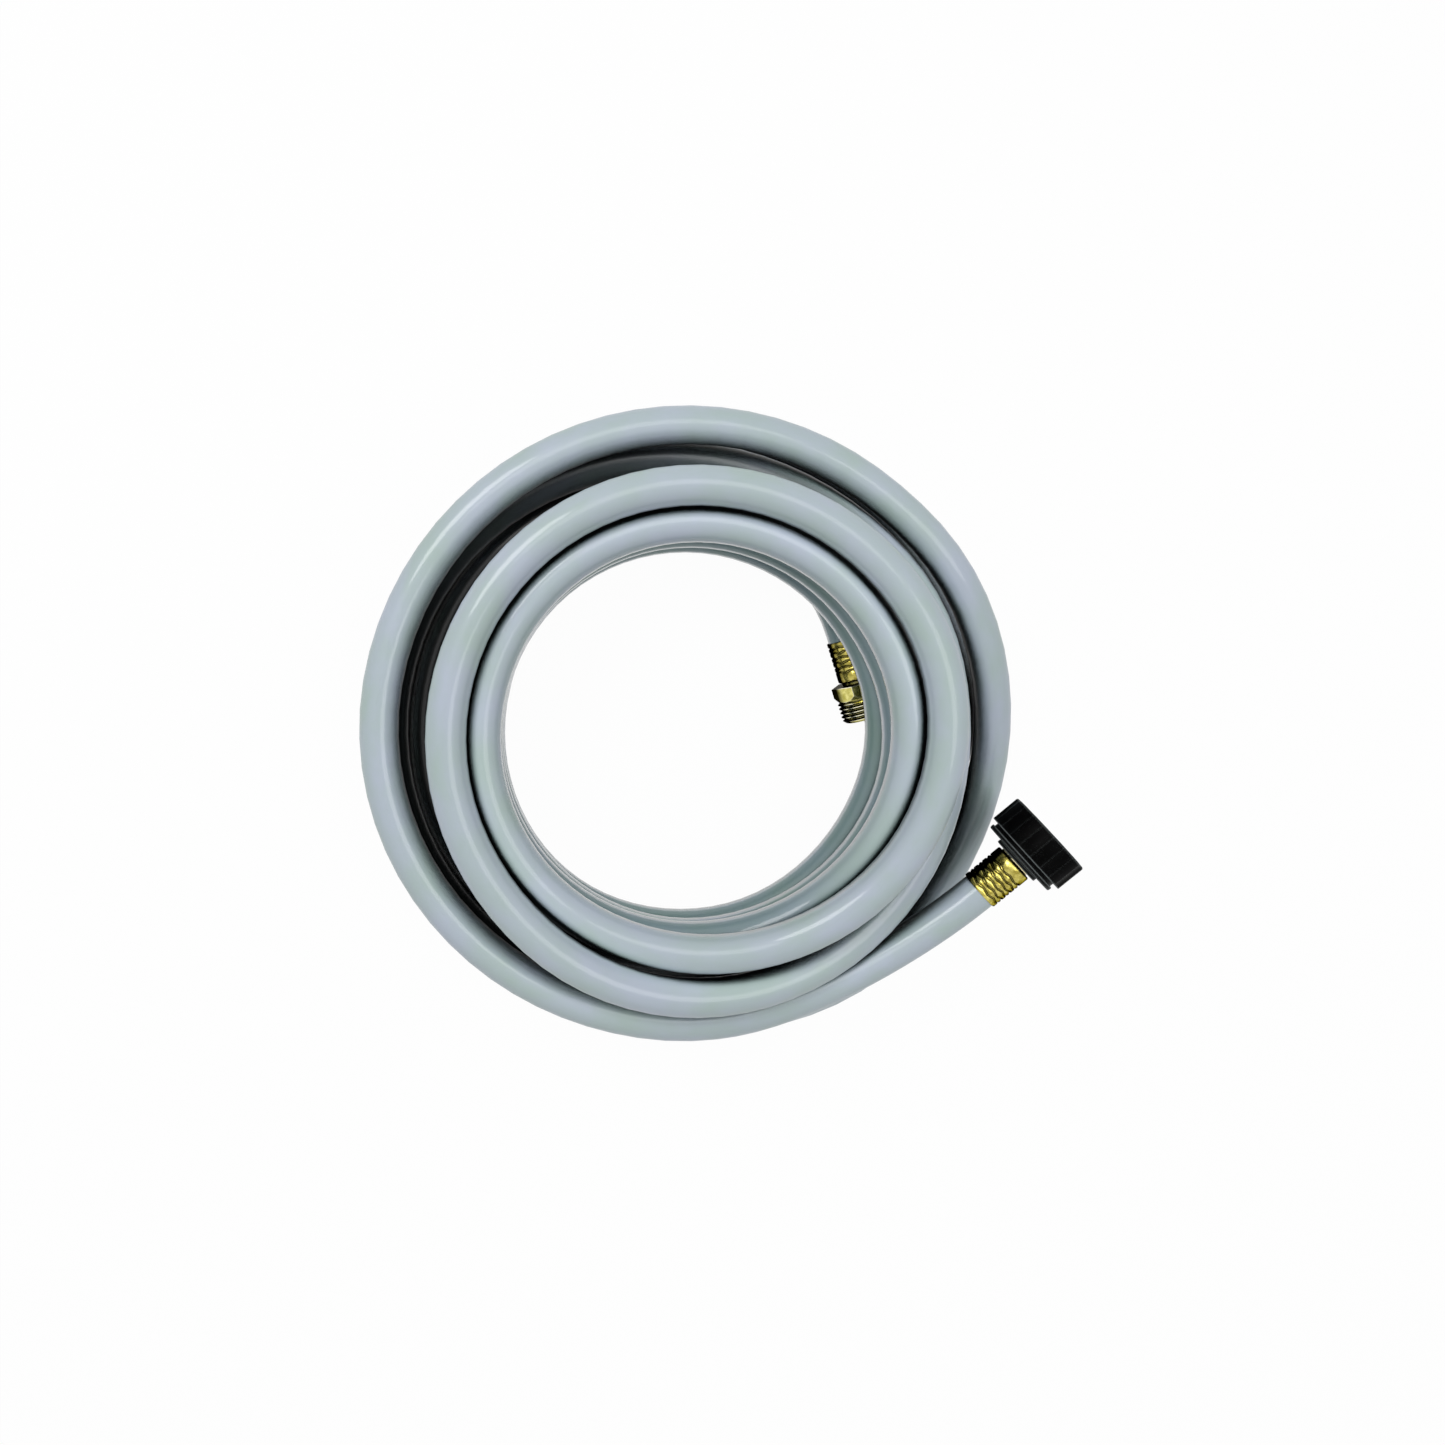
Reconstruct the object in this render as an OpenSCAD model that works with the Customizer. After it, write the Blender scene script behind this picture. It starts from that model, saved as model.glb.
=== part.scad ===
// Coiled rinse hose with a swivel nut at one end and a threaded coupling at the other.
// Millimetres. The pile lies on z = 0, and the row's origin is the bottom centre of its box.

/* [Hose] */
// Outside diameter of the hose
hose_od = 18; // [12:0.5:24]
// Bore of the hose
hose_bore = 12.7; // [8:0.1:18]
// Clear gap between one turn and the turn stacked on it
turn_gap = 1.1; // [0.5:0.1:4]

/* [Coil] */
// Centreline radius of the inner stack of turns
inner_ring_r = 99; // [85:0.5:110]
// Clear gap between the outer ring and the ring beside it
side_gap = 3.7; // [1:0.1:8]
// Clear gap between the threaded end and the turns that are lifted over it
crossing_gap = 1.1; // [0.5:0.1:5]
// Length of turn, to each side of the threaded end, over which the lifted turns come down
crossing_slope = 147; // [100:1:200]
// Sideways shift of the stack for each mm of height
stack_lean = 0.042; // [0:0.002:0.1]

/* [Swivel end] */
// How far the hose has risen from its turn where it enters the swivel end's ferrule
swivel_rise = 6.8; // [0:0.1:30]
// Direction of the swivel end's axis, degrees from +X
swivel_turn = 43.2; // [-180:0.1:180]
// How far the swivel end points upwards, in degrees
swivel_tilt = 10.5; // [0:0.5:30]
// Length of the crimped ferrule at the swivel end
female_ferrule_len = 21.4; // [14:0.1:30]
// Outside diameter of the swivel nut over its grips
nut_od = 43.4; // [36:0.2:56]
// Length of the swivel nut
nut_len = 19.3; // [17:0.1:30]
// Outside diameter of the nut's rear rim
nut_rim_od = 39; // [34:0.2:50]
// Length of the nut's rear rim
nut_rim_len = 2.2; // [1:0.1:5]
// Thickness of the nut's rear wall
nut_wall = 3.2; // [2:0.1:6]
// Depth of the threaded mouth of the nut
nut_thread_len = 10.3; // [8:0.1:14]
// Width of the groove in front of the nut's rear rim
nut_groove_len = 1.9; // [1:0.1:4]
// Depth of the groove in front of the nut's rear rim
nut_groove_depth = 1; // [0.4:0.1:2]
// Number of wide finger flutes round the nut, as wide as the lands between them
flute_count = 10; // [6:2:24]
// Depth of a finger flute
flute_depth = 0.8; // [0.2:0.1:1.5]
// Outside diameter of the ring behind the nut
ring_od = 24.2; // [18:0.1:30]
// Thickness of the ring behind the nut
ring_thick = 1.8; // [1:0.1:4]
// Bare length of neck between the ferrule and the ring
neck_bare = 0.9; // [0.4:0.1:3]
// Diameter of the neck that the nut turns on
neck_d = 16; // [14:0.1:18]
// Diameter of the flange that holds the nut
flange_d = 23.6; // [20:0.1:25.4]
// Thickness of the flange that holds the nut
flange_thick = 2.2; // [1:0.1:3]
// Outside diameter of the rubber washer
washer_od = 25.4; // [22:0.1:26]
// Bore of the rubber washer
washer_bore = 15.9; // [10:0.1:20]
// Thickness of the rubber washer
washer_thick = 3; // [1.5:0.1:3.5]

/* [Threaded end] */
// Direction of the threaded end's axis, degrees from +X
coupling_turn = -72.5; // [-180:0.1:180]
// Length of the crimped ferrule at the threaded end
male_ferrule_len = 21.4; // [14:0.1:30]
// Length of the waist between ferrule and hexagon
waist_len = 1.7; // [0.5:0.1:4]
// Diameter of the waist between ferrule and hexagon
waist_d = 16.4; // [14:0.1:20]
// Width across the flats of the hexagon
hex_flats = 25.5; // [22:0.1:26.8]
// Length of the hexagon
hex_len = 7.7; // [4:0.1:12]
// Major diameter of the hose thread, both halves
thread_major = 27; // [20:0.1:34]
// Depth of the outside thread, seen in its relief
thread_depth = 1.2; // [0.8:0.05:1.6]
// Length of the outside thread with its relief
thread_len = 11.2; // [8:0.1:16]
// Bore of the sealing mouth at the threaded end
mouth_bore = 18; // [12:0.1:20]

/* [Crimp and shank] */
// Wall of the crimped ferrules, over the lands
ferrule_wall = 0.8; // [0.6:0.05:1.5]
// Depth of a crimp groove
crimp_depth = 0.35; // [0.1:0.05:0.5]
// Distance from one crimp groove to the next
crimp_pitch = 2.6; // [1.5:0.1:3.4]
// Number of crimp grooves
crimp_count = 6; // [1:1:8]
// Bore of the brass shanks inside the hose
shank_bore = 8; // [4:0.1:9]
// Length of one barb on a shank
barb_len = 3.2; // [2:0.1:5]

/* [Hidden] */

// Clearances, named once
fit_gap = 0.05;
soft_gap = 0.3;
run_gap = 0.2;
thread_gap = 0.05;
// Resolution
$fn = 96;
COIL_SIDES = 6;
LEAD_SIDES = 12;
RINGS_PER_TURN = 24;
RING_STEP = 360 / RINGS_PER_TURN;

hose_r = hose_od / 2;
bore_r = hose_bore / 2;
turn_pitch = hose_od + turn_gap;
// The lowest turns are cut flat by a tenth of the hose, so they lie lower by as much.
floor_z = hose_r - hose_od / 10;
function level(k) = hose_r + k * turn_pitch;
top_z = level(3);

// Rings of turns, from inside out. A turn that rides on its neighbour lies nearer than a hose's width.
crown_ring_r = inner_ring_r + 0.833 * hose_od;
second_ring_r = crown_ring_r + 0.683 * hose_od;
outer_ring_r = second_ring_r + hose_od + side_gap;
floor_ring_r = outer_ring_r - 1.278 * hose_od;
// The lowest turn that crosses the threaded end lies one level up, and is lifted the rest of the way.
coupling_width = max(thread_major, hex_flats);
crossing_lift = coupling_width + crossing_gap - turn_pitch;

// Ferrules: the crimped tube over the hose and the lip at its front
ferrule_bore_r = hose_r + fit_gap;
ferrule_r = ferrule_bore_r + ferrule_wall;
lip_len = 1;
female_hose_end = female_ferrule_len - lip_len - soft_gap;
male_hose_end = male_ferrule_len - lip_len - soft_gap;
// The bore of the many-sided hose is narrowest across its flats.
shank_r = bore_r * cos(180 / LEAD_SIDES) - fit_gap;
barb_depth = 0.5;
shank_back = 2;
edge = 0.6;

// Places along the swivel end's axis, from the mouth of its ferrule
ring_back = female_ferrule_len + neck_bare;
nut_back = ring_back + ring_thick + run_gap;
nut_front = nut_back + nut_len;
flange_back = nut_back + nut_wall + run_gap;
washer_back = flange_back + flange_thick + run_gap;
thread_back = nut_front - nut_thread_len;
nut_thread_r = thread_major / 2 + thread_gap;
pocket_r = max(washer_od, flange_d) / 2 + soft_gap;
mouth_chamfer = 1;

// Places along the threaded end's axis, from the mouth of its ferrule
hex_back = male_ferrule_len + waist_len;
hex_front = hex_back + hex_len;
coupling_front = hex_front + thread_len;
seat_depth = thread_len - edge;
thread_root = thread_major - 2 * thread_depth;

// Where the hose enters its two ferrules, seen from the axis of the inner stack
SWIVEL_MOUTH_AT = -28.79;
COUPLING_MOUTH_AT = 28.81;
function polar(r, turn, z) = [r * cos(turn), r * sin(turn), z];
swivel_mouth = polar(1.0748 * outer_ring_r, SWIVEL_MOUTH_AT, level(2) + swivel_rise);
coupling_mouth = polar(inner_ring_r - 0.244 * hose_od, COUPLING_MOUTH_AT, coupling_width / 2);

// Route of the hose: [from, to, new value] over the travel angle, clockwise, in degrees.
// The turns dive under, cross and climb on one another where the rows say.
ROUTE_START = 85;
ROUTE_RINGS = 199;
ROUTE_END = ROUTE_START + ROUTE_RINGS * RING_STEP;
START_R = outer_ring_r - 0.472 * hose_od;
RADIUS_MOVES = [
    [100, 190, outer_ring_r],
    [305, 380, outer_ring_r + 0.722 * hose_od],
    [400, 470, outer_ring_r - 0.167 * hose_od],
    [470, 530, outer_ring_r + 0.111 * hose_od],
    [708, 738, outer_ring_r - 0.333 * hose_od],
    [750, 815, floor_ring_r],
    [832, 892, floor_ring_r + 0.333 * hose_od],
    [1115, 1185, outer_ring_r - 0.417 * hose_od],
    [1185, 1270, outer_ring_r - 0.139 * hose_od],
    [1280, 1400, second_ring_r + 0.178 * hose_od],
    [1400, 1460, second_ring_r],
    [1474, 1595, crown_ring_r],
    [1690, 1770, crown_ring_r - 0.083 * hose_od],
    [1765, 1915, inner_ring_r],
    [2480, 2540, inner_ring_r + 0.167 * hose_od],
    [2600, 2680, inner_ring_r],
    [2900, 2960, inner_ring_r + 0.139 * hose_od],
    [2990, 3060, inner_ring_r]
];
HEIGHT_MOVES = [
    [318, 392, floor_z],
    [983, 1060, level(1)],
    [1335, 1425, level(2) + 0.044 * hose_od],
    [1425, 1470, level(2) + 0.322 * hose_od],
    [1470, 1570, level(3) + 0.65 * hose_od],
    [1690, 1780, level(3) + 0.733 * hose_od],
    [1800, 1940, level(3)],
    [2140, 2275, level(2)],
    [2500, 2635, level(1)],
    [2868, 2995, floor_z]
];
// The hump over the threaded end: half its angle, its pull inwards, and where along the route it counts
HUMP_HALF = 180 * crossing_slope / (PI * inner_ring_r);
HUMP_PULL = 0.15;
HUMP_ON = [1560, 1710];
HUMP_OFF = [2870, 2980];
// Handles of the two curves that lead from the coil to the straight ends
STRAIGHT_OUT = 0.222 * hose_od;
SWIVEL_HANDLES = outer_ring_r * [0.203, 0.311];
COUPLING_HANDLES = inner_ring_r * [1.15, 0.87];
COUPLING_RISE = [0.35, 1];
SWIVEL_LEAD_RINGS = 5;
COUPLING_LEAD_RINGS = 9;

function smooth(u) =
    let (c = min(1, max(0, u)))
    c * c * (3 - 2 * c);
function between(span, t) = smooth((t - span[0]) / (span[1] - span[0]));
function moved(rows, value, t, i = 0) =
    i == len(rows)
    ? value
    : moved(rows, value + (rows[i][2] - value) * between(rows[i], t), t, i + 1);
function wrapped(a) = a - 360 * floor((a + 180) / 360);
function heading(turn, tilt = 0) = [cos(turn) * cos(tilt), sin(turn) * cos(tilt), sin(tilt)];
swivel_heading = heading(swivel_turn, swivel_tilt);
coupling_heading = heading(coupling_turn);
crossing = coupling_mouth + (hex_back + coupling_front) / 2 * coupling_heading;
crossing_at = atan2(crossing[1], crossing[0]);
function hump(t) =
    let (d = wrapped(-t - crossing_at))
    abs(d) < HUMP_HALF
    ? crossing_lift * pow(cos(90 * d / HUMP_HALF), 2) * between(HUMP_ON, t) * (1 - between(HUMP_OFF, t))
    : 0;
function coil_point(t) =
    let (up = hump(t),
         r = moved(RADIUS_MOVES, START_R, t) - HUMP_PULL * up,
         z = moved(HEIGHT_MOVES, level(2), t) + up,
         lean = stack_lean * (z - top_z))
    [r * cos(t) + lean, lean - r * sin(t), z];
function unit(v) = v / norm(v);
function coil_heading(t) = unit(coil_point(t + 0.5) - coil_point(t - 0.5));
function bezier(p, u) =
    pow(1 - u, 3) * p[0] + 3 * u * pow(1 - u, 2) * p[1] + 3 * u * u * (1 - u) * p[2] + pow(u, 3) * p[3];

// The centreline: out of the swivel ferrule, round the coil, and into the other ferrule
coil_start = coil_heading(ROUTE_START);
coil_end = coil_heading(ROUTE_END);
swivel_out = swivel_mouth - STRAIGHT_OUT * swivel_heading;
coupling_out = coupling_mouth - STRAIGHT_OUT * coupling_heading;
SWIVEL_CURVE = [
    swivel_out,
    swivel_out - SWIVEL_HANDLES[0] * swivel_heading,
    coil_point(ROUTE_START) - SWIVEL_HANDLES[1] * coil_start,
    coil_point(ROUTE_START)
];
COUPLING_CURVE = [
    coil_point(ROUTE_END),
    coil_point(ROUTE_END) + COUPLING_HANDLES[0] * coil_end,
    coupling_out - COUPLING_HANDLES[1] * coupling_heading,
    coupling_out
];
function coupling_point(u) =
    let (p = bezier(COUPLING_CURVE, u), low = COUPLING_CURVE[0][2])
    [p[0], p[1], low + (coupling_out[2] - low) * between(COUPLING_RISE, u)];
SWIVEL_LEAD = concat(
    [for (s = [female_hose_end, female_hose_end / 2, 0]) swivel_mouth + s * swivel_heading],
    [for (i = [0 : SWIVEL_LEAD_RINGS]) bezier(SWIVEL_CURVE, i / SWIVEL_LEAD_RINGS)]
);
COIL = [for (i = [0 : ROUTE_RINGS]) coil_point(ROUTE_START + i * RING_STEP)];
COUPLING_LEAD = concat(
    [for (i = [0 : COUPLING_LEAD_RINGS]) coupling_point(i / COUPLING_LEAD_RINGS)],
    [for (s = [0, male_hose_end / 2, male_hose_end]) coupling_mouth + s * coupling_heading]
);

// Many-sided rings round a centreline, with a flat below, cut off at the floor
function courses(path, first, last) =
    let (end = len(path) - 1)
    [for (i = [0 : end]) i == 0 ? first : i == end ? last : unit(path[i + 1] - path[i - 1])];
function ring(p, course, r, sides) =
    let (side = unit(cross(course, [0, 0, 1])), up = cross(side, course))
    [for (j = [0 : sides - 1])
        let (a = 360 * j / sides, q = p + r * (cos(a) * side + sin(a) * up))
        [q[0], q[1], max(0, q[2])]];
function rings(path, ends, r, sides) =
    let (way = courses(path, ends[0], ends[1]))
    [for (i = [0 : len(path) - 1]) each ring(path[i], way[i], r, sides)];
COIL_RINGS = rings(COIL, [coil_start, coil_end], hose_r, COIL_SIDES);

// Least gap of the hose to itself, between points at least a few hose diameters apart along it
SAMPLES = [for (t = [ROUTE_START : RING_STEP / 2 : ROUTE_END]) coil_point(t)];
SAMPLE_SKIP = 12;
function least_gap() =
    min([for (i = [0 : len(SAMPLES) - 1 - SAMPLE_SKIP])
        min([for (j = [i + SAMPLE_SKIP : len(SAMPLES) - 1]) norm(SAMPLES[i] - SAMPLES[j])])]) - hose_od;

// The box of the whole pile, from the coil and the two edges of the nut's front chamfer
function reach(axis) = [for (p = COIL_RINGS) p[axis]];
function nut_reach(s, r) =
    swivel_mouth[0] + s * swivel_heading[0] + r * sqrt(1 - pow(swivel_heading[0], 2));
box_low = [min(reach(0)), min(reach(1))];
box_high = [
    max(nut_reach(nut_front, nut_od / 2 - edge), nut_reach(nut_front - edge, nut_od / 2)),
    max(reach(1))
];
pile_shift = [-(box_low[0] + box_high[0]) / 2, -(box_low[1] + box_high[1]) / 2, 0];

module on_pile() {
    translate(pile_shift) children();
}

// Local +Z runs out along the swivel end's axis, from the mouth of its ferrule.
module at_swivel() {
    on_pile() translate(swivel_mouth) rotate([0, 90 - swivel_tilt, swivel_turn]) children();
}

module at_coupling() {
    on_pile() translate(coupling_mouth) rotate([0, 90, coupling_turn]) children();
}

// A tube with its bore along a centreline; ends holds the headings of its two end faces.
module tube(path, ends, sides) {
    n = sides;
    last = len(path) - 1;
    m = n * (last + 1);
    faces = concat(
        [for (i = [0 : last - 1], j = [0 : n - 1])
            let (k = (j + 1) % n)
            each [
                [n * i + j, n * i + k, n * (i + 1) + j],
                [n * i + k, n * (i + 1) + k, n * (i + 1) + j],
                [m + n * i + j, m + n * (i + 1) + j, m + n * i + k],
                [m + n * i + k, m + n * (i + 1) + j, m + n * (i + 1) + k]]],
        [for (j = [0 : n - 1])
            let (k = (j + 1) % n)
            each [
                [j, m + j, k],
                [m + j, m + k, k],
                [n * last + j, n * last + k, m + n * last + j],
                [m + n * last + j, n * last + k, m + n * last + k]]]
    );
    points = concat(rings(path, ends, hose_r, n), rings(path, ends, bore_r, n));
    color("LightSlateGray")
    on_pile() polyhedron(points = points, faces = faces);
}

module swivel_lead() {
    tube(SWIVEL_LEAD, [-swivel_heading, coil_start], LEAD_SIDES);
}

module hose_coil() {
    echo(least_gap_mm = least_gap(), shift = pile_shift, box = box_high - box_low);
    echo(swivel_mouth = swivel_mouth, coupling_mouth = coupling_mouth);
    tube(COIL, [coil_start, coil_end], COIL_SIDES);
}

module coupling_lead() {
    tube(COUPLING_LEAD, [coil_end, coupling_heading], LEAD_SIDES);
}

// A thin tube pressed into grooves over the hose, with a lip that bears on the shank's shoulder
module ferrule(length) {
    groove = crimp_pitch / 2;
    first_groove = (length - crimp_count * crimp_pitch) / 3;
    difference() {
        cylinder(r = ferrule_r, h = length);
        translate([0, 0, -edge]) cylinder(r = ferrule_bore_r, h = length - lip_len + edge);
        translate([0, 0, -edge]) cylinder(r = shank_r + fit_gap, h = length + 2 * edge);
        for (i = [0 : crimp_count - 1])
            translate([0, 0, first_groove + i * crimp_pitch]) crimp_groove(groove);
    }
}

module crimp_groove(width) {
    rotate_extrude()
        polygon([
            [ferrule_r - crimp_depth, width / 4],
            [ferrule_r + edge, 0],
            [ferrule_r + edge, width],
            [ferrule_r - crimp_depth, 3 * width / 4]
        ]);
}

// The barbed shank that stands in the hose; its barbs point back out of the ferrule.
module shank(length) {
    barbs = floor((length - shank_back - 2 * edge) / barb_len);
    translate([0, 0, shank_back])
        cylinder(r = shank_r - barb_depth, h = length - shank_back);
    for (i = [0 : barbs - 1])
        translate([0, 0, shank_back + i * barb_len])
            cylinder(r1 = shank_r - barb_depth, r2 = shank_r, h = barb_len);
    translate([0, 0, length - 2 * lip_len]) cylinder(r = shank_r, h = 2 * lip_len);
}

module female_ferrule() {
    color("Gold")
    at_swivel() ferrule(female_ferrule_len);
}

module male_ferrule() {
    color("Gold")
    at_coupling() ferrule(male_ferrule_len);
}

module female_stem() {
    color("Goldenrod")
    at_swivel() difference() {
        union() {
            shank(female_ferrule_len);
            translate([0, 0, female_ferrule_len])
                cylinder(d = neck_d, h = flange_back - female_ferrule_len);
            translate([0, 0, flange_back]) cylinder(d = flange_d, h = flange_thick);
        }
        cylinder(d = shank_bore, h = washer_back);
    }
}

module retaining_ring() {
    color("DimGray")
    at_swivel() translate([0, 0, ring_back]) difference() {
        cylinder(d = ring_od, h = ring_thick);
        translate([0, 0, -edge]) cylinder(d = neck_d + 2 * fit_gap, h = ring_thick + 2 * edge);
    }
}

module swivel_nut() {
    grip_back = nut_back + nut_rim_len + nut_groove_len;
    flute_turn = 360 / flute_count;
    flute_half = nut_od / 2 * sin(flute_turn / 4);
    flute_r = (flute_half * flute_half + flute_depth * flute_depth) / (2 * flute_depth);
    color("DarkSlateGray")
    at_swivel() difference() {
        union() {
            translate([0, 0, nut_back]) cylinder(d1 = nut_rim_od - edge, d2 = nut_rim_od, h = edge);
            translate([0, 0, nut_back + edge]) cylinder(d = nut_rim_od, h = nut_rim_len - edge);
            translate([0, 0, nut_back]) cylinder(d = nut_rim_od - 2 * nut_groove_depth, h = nut_len);
            translate([0, 0, grip_back]) cylinder(d = nut_od, h = nut_front - edge - grip_back);
            translate([0, 0, nut_front - edge]) cylinder(d1 = nut_od, d2 = nut_od - 2 * edge, h = edge);
        }
        for (i = [0 : flute_count - 1])
            rotate([0, 0, 90 + (i + 0.75) * flute_turn])
                translate([nut_od / 2 + flute_r - flute_depth, 0, grip_back - edge])
                    cylinder(r = flute_r, h = nut_len, $fn = 64);
        translate([0, 0, nut_back - edge])
            cylinder(d = neck_d + 2 * fit_gap, h = nut_wall + 2 * edge);
        translate([0, 0, nut_back + nut_wall])
            cylinder(r = pocket_r, h = thread_back - nut_back - nut_wall + edge);
        translate([0, 0, thread_back]) cylinder(r = nut_thread_r, h = nut_thread_len + edge);
        translate([0, 0, nut_front - mouth_chamfer])
            cylinder(r1 = nut_thread_r, r2 = nut_thread_r + 2 * mouth_chamfer, h = 2 * mouth_chamfer);
    }
}

module hose_washer() {
    color("Black")
    at_swivel() translate([0, 0, washer_back]) difference() {
        cylinder(d = washer_od, h = washer_thick);
        translate([0, 0, -edge]) cylinder(d = washer_bore, h = washer_thick + 2 * edge);
    }
}

// Barbed shank, waist, hexagon with two flats level, and the outside hose thread
module male_coupling() {
    chamfer = 1.4;
    relief = 0.8;
    color("Goldenrod")
    at_coupling() difference() {
        union() {
            shank(male_ferrule_len);
            translate([0, 0, male_ferrule_len]) cylinder(d = waist_d, h = waist_len);
            translate([0, 0, hex_back]) intersection() {
                rotate([0, 0, 30]) cylinder(d = hex_flats / cos(30), h = hex_len, $fn = 6);
                cylinder(d1 = hex_flats / cos(30), d2 = thread_major, h = hex_len);
            }
            translate([0, 0, hex_back + edge])
                cylinder(d = thread_root, h = coupling_front - 2 * edge - hex_back);
            translate([0, 0, hex_front + relief])
                cylinder(d = thread_major, h = thread_len - chamfer - relief);
            translate([0, 0, coupling_front - chamfer])
                cylinder(d1 = thread_major, d2 = thread_major - 2 * chamfer, h = chamfer);
        }
        cylinder(d = shank_bore, h = coupling_front + edge);
        translate([0, 0, coupling_front - seat_depth]) cylinder(d = mouth_bore, h = seat_depth + edge);
    }
}

hose_coil();
swivel_lead();
coupling_lead();
female_ferrule();
female_stem();
retaining_ring();
swivel_nut();
hose_washer();
male_ferrule();
male_coupling();
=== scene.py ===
"""Coiled rinse hose with a swivel nut at one end and a threaded coupling at the other.

Lengths in the classes are millimetres, and each mesh is brought to metres when it is placed.
The fittings are modelled along their own Z axis, from the mouth of the ferrule outwards.
"""

from __future__ import annotations

import logging
import math
from dataclasses import dataclass, field
from enum import Enum
from typing import Callable, Iterable, Mapping, Sequence, Union

import bpy
from mathutils import Matrix, Vector

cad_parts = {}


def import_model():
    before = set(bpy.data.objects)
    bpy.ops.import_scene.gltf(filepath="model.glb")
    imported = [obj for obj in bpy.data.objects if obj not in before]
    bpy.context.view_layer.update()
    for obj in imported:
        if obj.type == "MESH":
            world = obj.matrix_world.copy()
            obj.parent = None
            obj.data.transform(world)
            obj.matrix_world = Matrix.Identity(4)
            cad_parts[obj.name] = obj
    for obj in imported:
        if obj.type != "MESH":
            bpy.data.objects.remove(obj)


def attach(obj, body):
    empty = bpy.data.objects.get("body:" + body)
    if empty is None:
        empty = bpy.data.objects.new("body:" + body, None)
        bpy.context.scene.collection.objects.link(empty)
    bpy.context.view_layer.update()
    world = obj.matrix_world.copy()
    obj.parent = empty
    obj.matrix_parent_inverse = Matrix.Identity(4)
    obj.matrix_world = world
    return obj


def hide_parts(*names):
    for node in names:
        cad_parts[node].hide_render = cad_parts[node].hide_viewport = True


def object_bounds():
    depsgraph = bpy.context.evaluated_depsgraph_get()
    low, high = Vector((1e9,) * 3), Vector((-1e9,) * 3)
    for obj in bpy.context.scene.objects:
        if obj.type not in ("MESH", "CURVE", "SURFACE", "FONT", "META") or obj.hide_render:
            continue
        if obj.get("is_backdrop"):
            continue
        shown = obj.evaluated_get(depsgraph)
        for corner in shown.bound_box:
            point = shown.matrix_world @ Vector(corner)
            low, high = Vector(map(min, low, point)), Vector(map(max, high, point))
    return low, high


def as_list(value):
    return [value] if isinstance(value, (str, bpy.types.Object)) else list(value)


LOG = logging.getLogger("rinse_hose")
MM = 0.001
FULL_TURN = 2 * math.pi
WELD = 1e-6
SEAM_WELD = 1e-5
SIDES = 96
AO_SAMPLES = 8

Profile = Sequence[tuple[float, float]]
Colour = tuple[float, float, float, float]
Move = tuple[float, float, float]
Value = Union[float, Sequence[float], bpy.types.NodeSocket]


class Body(Enum):
    """The rigid bodies that pieces ride on."""

    HOSE = "hose"
    NUT = "swivel_nut"


class Mark(Enum):
    """The hose's own attributes that its finish reads."""

    # The first two marks carry painted shade: on the lower turns of the inner stack, and near-black
    # on turns hidden between the rings
    STACKED = "stacked"
    BURIED = "buried"
    HOLE_SIDE = "hole_side"


class Slot(Enum):
    """The record's material slots."""

    VINYL = "hose_vinyl"
    PRESSED = "pressed_brass"
    TURNED = "turned_brass"
    PLASTIC = "black_plastic"
    RUBBER = "black_rubber"


# ---------------------------------------------------------------------------------------------
# Modelling by hand: small steps shared by every piece
# ---------------------------------------------------------------------------------------------


def linked(name: str, data: bpy.types.ID) -> bpy.types.Object:
    """Makes an object of a mesh, a lamp or a camera and links it to the scene.

    Args:
        name: the new object's name.
        data: what it shows.

    Returns:
        The object.
    """
    obj = bpy.data.objects.new(name, data)
    bpy.context.collection.objects.link(obj)
    return obj


def take(obj: bpy.types.Object) -> None:
    """Selects one object alone and makes it the active one.

    Args:
        obj: the object to work on.
    """
    if bpy.context.object and bpy.context.object.mode != "OBJECT":
        bpy.ops.object.mode_set(mode="OBJECT")
    bpy.ops.object.select_all(action="DESELECT")
    obj.select_set(True)
    bpy.context.view_layer.objects.active = obj


def apply_modifiers(obj: bpy.types.Object) -> None:
    """Applies every modifier of an object, in order.

    Args:
        obj: the object whose modifiers are applied.
    """
    take(obj)
    for name in [m.name for m in obj.modifiers]:
        bpy.ops.object.modifier_apply(modifier=name)


def face_outwards(obj: bpy.types.Object, weld: float = WELD) -> None:
    """Merges doubles and makes all the faces of a closed mesh point outwards.

    Args:
        obj: the mesh object to clean.
        weld: how close two points are merged, in metres.
    """
    take(obj)
    bpy.ops.object.mode_set(mode="EDIT")
    bpy.ops.mesh.select_all(action="SELECT")
    bpy.ops.mesh.remove_doubles(threshold=weld)
    bpy.ops.mesh.normals_make_consistent(inside=False)
    bpy.ops.object.mode_set(mode="OBJECT")


def turned(name: str, profile: Profile, steps: int = SIDES) -> bpy.types.Object:
    """Turns a closed outline round the Z axis, ring by ring, as on a lathe.

    Args:
        name: the new object's name.
        profile: (radius, height) corners of the outline in mm, all off the axis, in order.
        steps: sides of each ring.

    Returns:
        A closed mesh object, still at the origin.
    """
    first_r, first_z = profile[0]
    bpy.ops.object.select_all(action="DESELECT")
    bpy.ops.mesh.primitive_circle_add(
        vertices=steps, radius=first_r * MM, location=(0, 0, first_z * MM)
    )
    obj = bpy.context.object
    obj.name = name
    bpy.ops.object.transform_apply(location=True, rotation=False, scale=False)
    bpy.ops.object.mode_set(mode="EDIT")
    bpy.ops.mesh.select_all(action="SELECT")
    last_r, last_z = first_r, first_z
    for radius, height in [*profile[1:], profile[0]]:
        bpy.ops.mesh.extrude_edges_move(
            TRANSFORM_OT_translate={"value": (0, 0, (height - last_z) * MM)}
        )
        grow = radius / last_r
        bpy.ops.transform.resize(value=(grow, grow, 1), center_override=(0, 0, height * MM))
        last_r, last_z = radius, height
    bpy.ops.object.mode_set(mode="OBJECT")
    face_outwards(obj)
    return obj


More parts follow.
